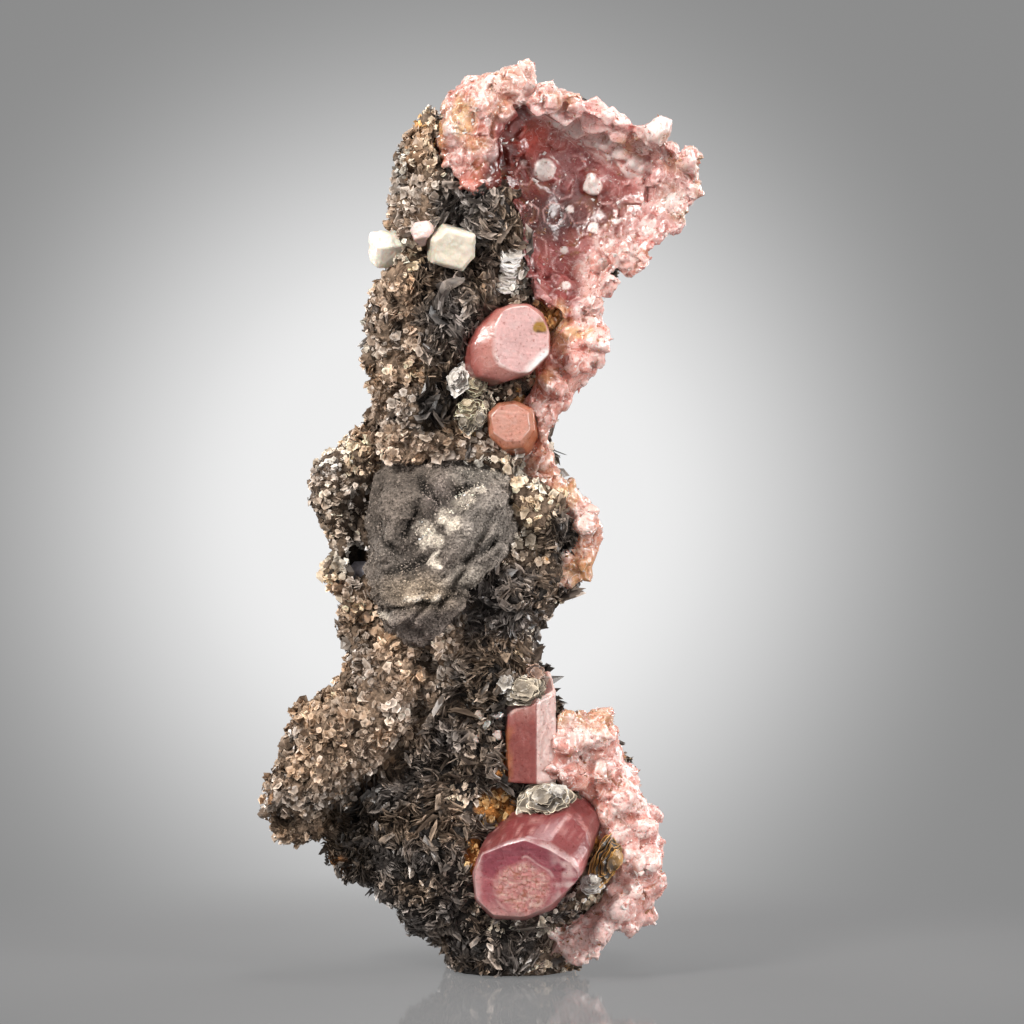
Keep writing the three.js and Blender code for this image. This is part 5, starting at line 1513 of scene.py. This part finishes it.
def on_end(corners, tip, axis, depth):
    """Corners given as left-right and height, set on the plane square to the axis that lies `depth`
    behind the tip: axis . (p - tip) = -depth, solved for front-to-back."""
    x, z = np.array(corners, float).T
    y = tip[1] - (depth + axis[0] * (x - tip[0]) + axis[2] * (z - tip[2])) / axis[1]
    return np.stack([x, y, z], 1)


def round_the_corners(corners, around, soft):
    """Points evenly round a closed polygon, its corners rounded by averaging along the edge."""
    closed = np.vstack([corners, corners[:1]])
    run = np.concatenate([[0], np.cumsum(np.linalg.norm(np.diff(closed, axis=0), axis=1))])
    at = np.linspace(0, run[-1], around, endpoint=False)
    points = np.stack([np.interp(at, run, closed[:, k]) for k in range(3)], 1)
    for _ in range(soft):
        points = (np.roll(points, 1, 0) + 2 * points + np.roll(points, -1, 0)) / 4
    return points


# The points round a single crystal, and the rings up its side, over its bevel and in its end.
crystal_around, side_rings, bevel_rings, end_rings = 168, 30, 5, 44


def grown_crystal(outer, inner, axis, length, foot=None):
    """A closed crystal. The point at (u, v) lies v turns round its outline; as u runs from 0 to 1 it
    climbs the side, crosses the bevel from the outer outline to the inner, and goes in to the middle
    of the end face. A crystal with a foot is cut off level there. Returns the points and, for each,
    which zone it is in: side, bevel or end."""
    around = crystal_around
    outer, inner = (round_the_corners(corners, around, 2) for corners in (outer, inner))
    middle = inner.mean(0)
    climb = np.linspace(1, 0, side_rings)[:, None, None]
    down = np.full(around, length) if foot is None else (outer[:, 2] - foot) / axis[2]
    sides = outer[None] - climb * down[:, None] * axis
    cross = np.linspace(0, 1, bevel_rings + 1)[1:, None, None]
    bevel = outer + (inner - outer) * cross
    inward = np.linspace(0, 1, end_rings + 1)[1:-1, None, None]
    end = inner + (middle - inner) * inward
    grid = np.concatenate([sides, bevel, end])
    zone = np.concatenate([np.zeros(side_rings), cross[:, 0, 0], 1 + inward[:, 0, 0]])
    base_middle = sides[0].mean(0)
    return grid, np.repeat(zone, around), middle, base_middle


def crystal_faces(rows, around):
    """Quads between the rows, a fan over the end and a fan over the base. The two middles are last."""
    turn = np.arange(around)
    after = (turn + 1) % around
    starts = around * np.arange(rows - 1)
    quads = [np.stack([k + turn, k + after, k + around + after, k + around + turn], 1) for k in starts]
    top, bottom = rows * around, rows * around + 1
    last = (rows - 1) * around
    fans = [
        np.stack([last + turn, last + after, np.full(around, top)], 1),
        np.stack([after, turn, np.full(around, bottom)], 1),
    ]
    loops = np.concatenate([np.concatenate(quads).ravel(), np.concatenate(fans).ravel()])
    sizes = np.concatenate([np.full(around * (rows - 1), 4), np.full(2 * around, 3)])
    return loops, sizes


rose_glass = apatite(
    "rose_apatite_crystal", 0.30, 0.22, 0.36, bump=0.00006, bump_size=0.0005, grain=0.1,
    lines=0.2, spacing=150, veil=0.2, speck=0.25, values={"Specular IOR Level": 0.34},
)
tree = rose_glass.node_tree
inside = add_node(tree, "VolumeAbsorption", {"Color": (0.80, 0.30, 0.33, 1), "Density": 110})
link_nodes(tree, (inside.outputs["Volume"], tree.nodes["Material Output"].inputs["Volume"]))

# Each crystal: its node, the middle of its end face, the way it points, its length and the depth of
# its bevel; then the corners of its side and of its end face, seen from the front; all in
# millimetres. Last, the colours of its side, bevel and end face.
single_crystals = {
    "apatite_upper_crystal": {
        "tip": (0.9, -18.4, 95.4), "axis": (0.2, -0.95, 0.12), "length": 11.5, "bevel": 1.7,
        "outer": [
            (-5.8, 94.7), (-4.5, 97.5), (-1.9, 100.1), (0.2, 100.9), (2.7, 101.0), (4.9, 99.5), (5.9, 96.7),
            (5.9, 93.3), (3.0, 90.5), (1.0, 90.0), (-0.9, 89.4), (-4.9, 90.2), (-5.7, 91.7),
        ],
        "inner": [
            (-2.1, 95.6), (-2.0, 97.6), (-1.0, 99.9), (0.5, 100.4), (2.6, 100.6), (4.6, 99.1), (5.7, 96.7),
            (5.7, 93.6), (2.9, 90.9), (1.4, 90.9), (0.2, 91.3), (-1.4, 92.2), (-2.0, 93.6),
        ],
        "colours": [(0.42, 0.115, 0.095), (0.60, 0.25, 0.21), (0.76, 0.46, 0.44)],
    },
    "apatite_orange_crystal": {
        "tip": (0.4, -15.2, 82.6), "axis": (-0.1, -0.95, 0.2), "length": 7.5, "bevel": 0.9,
        "outer": [
            (-3.4, 84.4), (-1.9, 86.1), (0.8, 86.5), (3.4, 85.3), (3.7, 82), (2.1, 79.5), (-1, 79.2),
            (-3.1, 81.2),
        ],
        "inner": [
            (-2.7, 84.2), (-1.5, 85.6), (0.6, 85.9), (2.6, 84.9), (2.9, 82.3), (1.5, 80.6), (-0.7, 80.6),
            (-2.4, 81.8),
        ],
        "colours": [(0.56, 0.18, 0.08), (0.68, 0.29, 0.19), (0.68, 0.32, 0.24)],
    },
    "apatite_large_crystal": {
        "tip": (2.4, -20.8, 15), "axis": (-0.16, -0.93, -0.25), "length": 13.5, "bevel": 2.5,
        "outer": [
            (-5.6, 16.4), (-4.4, 20.1), (-0.4, 23.9), (2.7, 24.9), (8.4, 25.4), (11.4, 22.5), (11.8, 20.2),
            (10.8, 16.7), (6.4, 11.0), (2.1, 9.2), (-2.7, 9.4), (-5.2, 12.2),
        ],
        "inner": [
            (-5.2, 16.5), (-4.2, 19.6), (-1.0, 21.0), (2.2, 22.0), (5.9, 20.6), (9.0, 18.6), (10.0, 17.4),
            (10.2, 16.2), (6.2, 12.1), (2.1, 10.1), (-2.5, 10.3), (-4.9, 12.7),
        ],
        "colours": [(0.36, 0.085, 0.085), (0.60, 0.21, 0.205), (0.53, 0.145, 0.165)],
    },
}
rough_core = {"middle": np.array([1.9, 14.6]), "radius": 4.3}
gold_inclusion = np.array([4.5, 97.5])


def from_core(points):
    """How far each point lies from the middle of the rough core, in its radii."""
    return np.hypot(*(points[:, [0, 2]] - rough_core["middle"]).T) / rough_core["radius"]


def crystal_relief(points, zone, name):
    """How far each point of a crystal is pushed out: fine growth lines on the side and the end, and
    on the large crystal a pitted core in the middle of its end face. In millimetres."""
    lines = noise(points * [1, 0.2, 1], 0.45, 91) * 0.05 + noise(points, 2.2, 92) * 0.10
    relief = np.where(zone < 1, lines, 0.03 * noise(points * [0.5, 1, 2.2], 0.7, 93))
    if name == "apatite_large_crystal":
        off = from_core(points)
        core = clamped((1.05 - off) * 5) * (zone >= 1)
        pitted = 0.07 * noise(points, 0.7, 94) + 0.05 * noise(points, 0.35, 95) + 0.10
        relief = relief + core * pitted + 0.05 * np.sin(9 * off) * (zone >= 1) * (1 - core)
    return relief


def veins(points, size, seed, fine):
    """Thin wavy lines: 1 where smooth noise crosses zero, 0 a little way off."""
    return clamped(1 - np.abs(noise(points, size, seed)) * fine)


def line_at(values, middle, width):
    """A soft line: 1 where the values are at the middle, falling off as a bell curve of a width."""
    return np.exp(-(((values - middle) / width) ** 2))


def prism_marks(points, zone, cloud):
    """The standing prism: its right face is painted pale as painted light, where it catches the light;
    the left one keeps the dark side colour as painted shade, is paler at the top and rusty at the foot,
    and the corner between them is dark."""
    x, y, z = points.T
    lit_face = clamped((x - 3.9) * 6) * (zone < 1.02)
    dim_face = (1 - lit_face) * (zone < 0.05)
    rusty = clamped(0.5 - x + 0.7 * noise(points, 1.1, 97)) * clamped((38.5 - z) / 2)
    corner = line_at(x, 3.88, 0.09) * (zone < 1) * (y < -13)
    return [
        ((0.92, 0.67, 0.61), lit_face * (0.8 + 0.2 * noise(points, 0.4, 99))),
        ((0.72, 0.36, 0.31), dim_face * clamped((z - 38.4) / 3) * 0.7),
        ((0.52, 0.19, 0.07), rusty * 0.8 * dim_face),
        ((0.30, 0.10, 0.09), 0.9 * corner),
    ]


def large_marks(points, zone, cloud):
    """The large crystal: a hazy core with pale and rusty threads in the end face, a broken ring
    round it, magenta above it and frost on its right, pale rims, and streaks on the top side."""
    x, _, z = points.T
    end_share = (zone >= 1).astype(float)
    off = from_core(points) * (1 + 0.15 * noise(points, 2.4, 88))
    core = clamped((1.0 - off) * 4) * end_share
    threads = clamped(veins(points, 0.6, 89, 6) + veins(points, 1.0, 90, 8))
    magenta = clamped((z - 15.8) / 1.6 + 0.8 * noise(points, 1.3, 85)) * end_share * (1 - core)
    ring = clamped(line_at(off, 1.02, 0.035) + 0.25 * line_at(off, 1.22, 0.03))
    broken = clamped(0.35 + 1.6 * noise(points, 1.2, 84))
    right_side = clamped((x - 5.4) / 2.4) * end_share * (1 - core)
    below = clamped((13.0 - z) / 3) * clamped((zone - 0.3) * 3) * (1 - core)
    left_rim = clamped((-3.9 - x) / 0.8) * (zone > 0.3)
    above = clamped((z - 18.0) / 2) * (zone < 0.97)
    streaks = clamped(noise(points * [1, 1, 0.35], 0.8, 86) * 1.8 - 0.5)
    streaks = clamped(streaks + veins(points * [0.3, 1, 1], 0.5, 82, 9) * clamped(2 * cloud))
    top_edge = line_at(zone, 1.0, 0.012) * clamped((z - 16.5) / 1.5)
    top_edge = top_edge * np.clip(0.55 + 1.2 * noise(points, 1.6, 81), 0.15, 1)
    return [
        ((0.82, 0.37, 0.34), core * (0.8 + 0.2 * noise(points, 0.5, 97))),
        ((0.92, 0.66, 0.55), 0.75 * threads * core),
        ((0.42, 0.12, 0.05), 0.85 * veins(points, 0.7, 91, 6) * core),
        ((0.33, 0.065, 0.095), 0.75 * magenta),
        ((0.88, 0.60, 0.56), 0.75 * ring * broken * end_share),
        ((0.82, 0.55, 0.53), right_side * clamped(0.5 + 1.1 * noise(points, 0.8, 83))),
        ((0.84, 0.46, 0.42), 0.8 * below),
        ((0.86, 0.50, 0.48), 0.7 * left_rim),
        (mixed((0.27, 0.058, 0.058), (0.55, 0.25, 0.23), streaks), above),
        ((0.92, 0.72, 0.69), 0.7 * top_edge),
    ]


def upper_marks(points, zone, cloud):
    """The upper crystal: a gold inclusion at the right of its end face, and frost below it."""
    off = np.hypot(*(points[:, [0, 2]] - gold_inclusion).T) * (1 + 0.35 * noise(points, 0.9, 80))
    gold = mixed((0.40, 0.21, 0.03), (0.13, 0.05, 0.01), clamped(1.4 * noise(points, 0.7, 79) + 0.3))
    frosted = near_line(points * 1e-3, (3.2, 91.2), (5.4, 93.3), 1.3) * (zone > 0.6)
    return [
        (gold, clamped((1.15 - off) * 3) * (zone >= 1)),
        ((0.97, 0.90, 0.87), clamped(1.6 * frosted + 0.5 * cloud * frosted)),
    ]


crystal_marks = {
    "apatite_standing_prism": prism_marks,
    "apatite_large_crystal": large_marks,
    "apatite_upper_crystal": upper_marks,
}


def crystal_tint(points, zone, name, colours):
    """The colour at each point of a crystal: side, bevel and end, with a pale edge between the last
    two, then its own marks."""
    side, bevel, end = colours
    edge = line_at(zone, 1.0, 0.014) * clamped(0.6 + 1.2 * noise(points, 1.4, 98))
    cloud = noise(points, 1.7, 96)
    colour = layered(
        mixed(side, bevel, clamped(zone * 2)),
        (end, clamped((zone - 0.9) * 10)),
        ((0.95, 0.82, 0.78), 0.7 * edge),
    )
    if name in crystal_marks:
        colour = layered(colour, *crystal_marks[name](points, zone, cloud))
    return colour * (1 + 0.10 * cloud)[:, None]


def finished_crystal(node, outer, inner, axis, length, colours, foot=None):
    """Builds one crystal from its outlines, in place of its node."""
    grid, zone, middle, base_middle = grown_crystal(outer, inner, axis, length, foot)
    rows, around = grid.shape[:2]
    points = grid.reshape(-1, 3)
    spine = middle - ((middle - points) @ axis)[:, None] * axis
    out = np.where(zone[:, None] < 1, unit(points - spine), axis)
    points = points + out * crystal_relief(points, zone, node)[:, None]
    points = np.vstack([points, points[-around:].mean(0), base_middle])
    colour = crystal_tint(points, np.append(zone, [2, 0]), node, colours)
    name = node.replace("apatite", "rose")
    crystal = mesh_piece(name, points * 1e-3, *crystal_faces(rows, around), colour, rose_glass, "POINT")
    crystal.data.shade_smooth()
    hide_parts(node)


for node, build in single_crystals.items():
    axis = unit(np.array(build["axis"]))
    outer = on_end(build["outer"], build["tip"], axis, build["bevel"])[::-1]
    inner = on_end(build["inner"], build["tip"], axis, 0)[::-1]
    if node == "apatite_large_crystal":  # its top side slopes further back than the bevel does
        outer[:, 1] += 0.62 * np.clip(outer[:, 2] - 19, 0, 9)
    finished_crystal(node, outer, inner, axis, build["length"], build["colours"])

# The standing prism: its shoulder's corners, from the left edge round the front; the end is a little
# smaller, and it slopes down to the left. It is cut off level at its foot.
prism_axis = unit(np.array([0.0, 0.1, 0.99]))
prism_shoulder = np.array([
    (-0.3, -13.4, 39.3), (3.88, -15.4, 41.5), (6.85, -13.2, 43.0), (5.9, -10.0, 45.8), (1.8, -8.8, 44.4),
    (-0.7, -10.4, 41.4),
])
prism_middle = prism_shoulder.mean(0)
prism_end = prism_middle + 0.90 * (prism_shoulder - prism_middle) + 0.35 * prism_axis
# Painted light and shade: the dark side colour is the left face in shade, and the right face is painted pale
# where light falls on it.
prism_colours = [(0.33, 0.09, 0.078), (0.78, 0.48, 0.43), (0.72, 0.40, 0.36)]
prism_length, prism_foot = 14, 29.6
finished_crystal(
    "apatite_standing_prism", prism_shoulder, prism_end, prism_axis, prism_length, prism_colours, prism_foot
)
